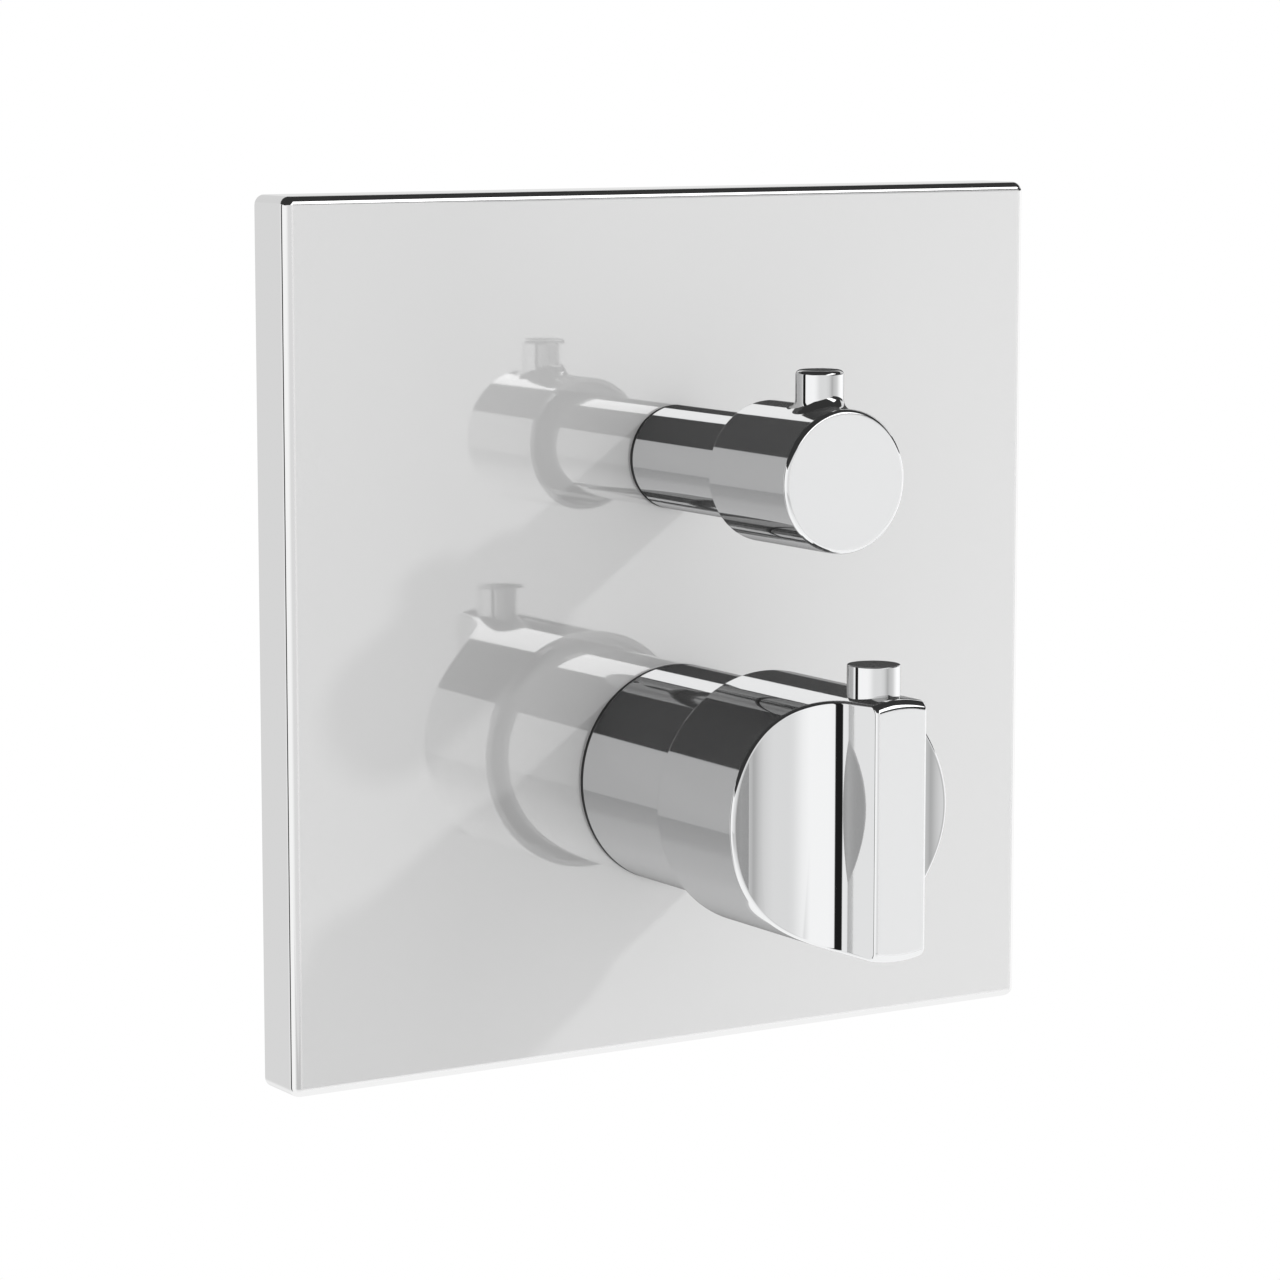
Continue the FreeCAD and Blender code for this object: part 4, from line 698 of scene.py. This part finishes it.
handle.piece("handle", "thermostat_control", "chrome",
             polished("handle_chrome", CHROME_TINT, CHROME_SMEAR, CHROME_REFLECTION_SHADE, HANDLE_FRONT,
                      HANDLE_SHEEN_DEPTH, KNOB_SHEEN),
             "thermostat_handle")

# ---- Safety button ------------------------------------------------------------------------
# A chromed brass cap, turned in one piece with its stem. It slides in the top of the handle's
# bar, with a steel latch finger and a spring beneath it.
BUTTON_RADIUS, BUTTON_TOP, BUTTON_FOOT = 4.93, 29.9, 22.4
STEM_RADIUS, STEM_FOOT, BUTTON_ROUND = 2.4, 15.2, 0.2
button = Shell()
button.spin(outline([(STEM_FOOT, 0, 0), (STEM_FOOT, STEM_RADIUS, BUTTON_ROUND),
                     (BUTTON_FOOT, STEM_RADIUS, 0), (BUTTON_FOOT, BUTTON_RADIUS, BUTTON_ROUND),
                     (BUTTON_TOP, BUTTON_RADIUS, BUTTON_ROUND), (BUTTON_TOP, 0, 0)],
                    closed=False),
            (0, BUTTON_Y, THERMOSTAT_Z), "Z")
button.piece("button", "safety_button", "chrome", chrome, "safety_button")

# ---- Other finishes -----------------------------------------------------------------------
# The parts in the wall and inside the knobs: cast and turned brass, rubber, foam, plastics,
# stainless steel, ceramic and copper. Each has its own colour and unevenness, and all but
# the ceramic a fine relief.
CLOUD_EDGES, RELIEF_STRENGTH = (0.3, 0.7), 0.6


def plain_finish(name, colours, roughness, metallic=0.0, grain=None, relief=0.0, stretch=(1, 1, 1),
                 cloud_size=8.0):
    """A finish from two colours that mix in soft clouds, with a fine relief in its surface.

    Roughness runs evenly between its two values with the clouds. The relief comes from
    pits as wide as the grain, or from streaks where stretch makes one direction short.
    """
    made, paint = blank_material(name)
    place = paint.node("ShaderNodeTexCoord", output=OBJECT_COORDINATES)
    cloud = paint.node("ShaderNodeTexNoise", None,
                       {"Vector": place, "Scale": 1 / (cloud_size * MM), "Detail": 4.0})
    colour = paint.node("ShaderNodeMix", {"data_type": "RGBA"},
                        {MIX_SHARE: cloud.step(*CLOUD_EDGES), MIX_FIRST: (*colours[0], 1),
                         MIX_SECOND: (*colours[1], 1)}, output=MIX_RESULT)
    inputs = {"Base Color": colour, "Metallic": metallic,
              "Roughness": roughness[0] + (roughness[1] - roughness[0]) * cloud}
    if grain is not None:
        pulled = paint.node("ShaderNodeVectorMath", {"operation": "MULTIPLY"},
                            {0: place, 1: stretch})
        pits = paint.node("ShaderNodeTexNoise", None,
                          {"Vector": pulled, "Scale": 1 / (grain * MM), "Detail": 2.0})
        inputs["Normal"] = paint.node("ShaderNodeBump", None,
                                      {"Height": pits, "Strength": RELIEF_STRENGTH,
                                       "Distance": relief * MM})
    surface = paint.node("ShaderNodeBsdfPrincipled", None, inputs)
    paint.node("ShaderNodeOutputMaterial", None, {"Surface": surface}, output=None)
    return made


FINISHES = {
    "brass": plain_finish("cast_brass", ((0.70, 0.53, 0.27), (0.74, 0.575, 0.31)), (0.36, 0.46), 1.0,
                          0.35, 0.06),
    "brass_turned": plain_finish("turned_brass", ((0.76, 0.59, 0.30), (0.82, 0.66, 0.38)),
                                 (0.18, 0.3), 1.0, 0.25, 0.006, (0.05, 1, 0.05)),
    "black_rubber": plain_finish("black_rubber", ((0.018, 0.018, 0.018), (0.032, 0.032, 0.033)),
                                 (0.45, 0.6), 0.0, 0.3, 0.01),
    "foam": plain_finish("sealing_foam", ((0.07, 0.07, 0.075), (0.085, 0.085, 0.09)), (0.8, 0.95),
                         0.0, 0.5, 0.15),
    "white_plastic": plain_finish("white_acetal", ((0.80, 0.80, 0.77), (0.85, 0.85, 0.83)),
                                  (0.35, 0.45), 0.0, 0.4, 0.01),
    "grey_plastic": plain_finish("filled_grey_plastic", ((0.26, 0.27, 0.29), (0.33, 0.34, 0.36)),
                                 (0.45, 0.6), 0.0, 0.15, 0.015, cloud_size=3.0),
    "red_plastic": plain_finish("red_acetal", ((0.56, 0.045, 0.04), (0.66, 0.07, 0.06)),
                                (0.32, 0.42), 0.0, 0.4, 0.01),
    "steel": plain_finish("stainless_steel", ((0.58, 0.58, 0.59), (0.66, 0.66, 0.67)),
                          (0.22, 0.34), 1.0, 0.2, 0.004, (1, 0.05, 1)),
    "ceramic": plain_finish("lapped_ceramic", ((0.86, 0.85, 0.82), (0.90, 0.89, 0.86)),
                            (0.12, 0.2), cloud_size=4.0),
    "copper": plain_finish("drawn_copper", ((0.66, 0.35, 0.21), (0.75, 0.45, 0.30)), (0.25, 0.4),
                           1.0, 0.3, 0.008, (1, 0.05, 1)),
    "chrome": chrome,
    "plate_chrome": plate_metal,
}
for part in frame["record"]["subparts"]:
    node = frame["nodes"][part["node"]]
    node.data.materials.clear()
    node.data.materials.append(FINISHES[part["material_slot"]])

# ---- Springs that are pressed --------------------------------------------------------------
# Stainless coil springs, each shown as a merged, smoothly shaded copy of its node on its
# body. Its seat is the far end along its direction, and the share of its length it would keep
# over its joint's travel is worked out, but the copy is not shortened as the joint leaves
# rest. The return spring's joint moves both ways.
SHUTTLE_RATE = 0.477
CHECK_TRAVEL, BUTTON_TRAVEL, SHUTTLE_TRAVEL = 2.5, 2.5, SHUTTLE_RATE * np.pi
COIL_WELD = 1e-7
# Body, joint, direction from the near end to the seat, travel in millimetres
PRESSED_SPRINGS = {
    "hot_check_spring": ("fixed_body", "hot_check_slide", (1, 0, 0), CHECK_TRAVEL),
    "cold_check_spring": ("fixed_body", "cold_check_slide", (-1, 0, 0), CHECK_TRAVEL),
    "safety_button_spring": ("thermostat_control", "safety_button_press", (0, 0, -1), BUTTON_TRAVEL),
    "return_spring": ("fixed_body", "mixing_slide", (0, 1, 0), SHUTTLE_TRAVEL),
}
for node, (body, joint, way, travel) in PRESSED_SPRINGS.items():
    source = frame["nodes"][node]
    form = bmesh.new()
    form.from_mesh(source.data)
    bmesh.ops.remove_doubles(form, verts=form.verts, dist=COIL_WELD)
    mesh = bpy.data.meshes.new(node + "_coil")
    form.to_mesh(mesh)
    form.free()
    mesh.transform(source.matrix_world)
    mesh.shade_smooth()
    mesh.materials.clear()
    mesh.materials.append(FINISHES["steel"])
    coil = bpy.data.objects.new(node + "_coil", mesh)
    bpy.context.scene.collection.objects.link(coil)
    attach(coil, body)
    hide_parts(node)
    coil_spots = np.empty(len(mesh.vertices) * 3)
    mesh.vertices.foreach_get("co", coil_spots)
    coil_spots = coil_spots.reshape(-1, 3)
    along = coil_spots @ np.array(way, float)
    seat = coil_spots[along.argmax()]
    float(1 - travel * MM / (along.max() - along.min()))
    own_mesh(coil)
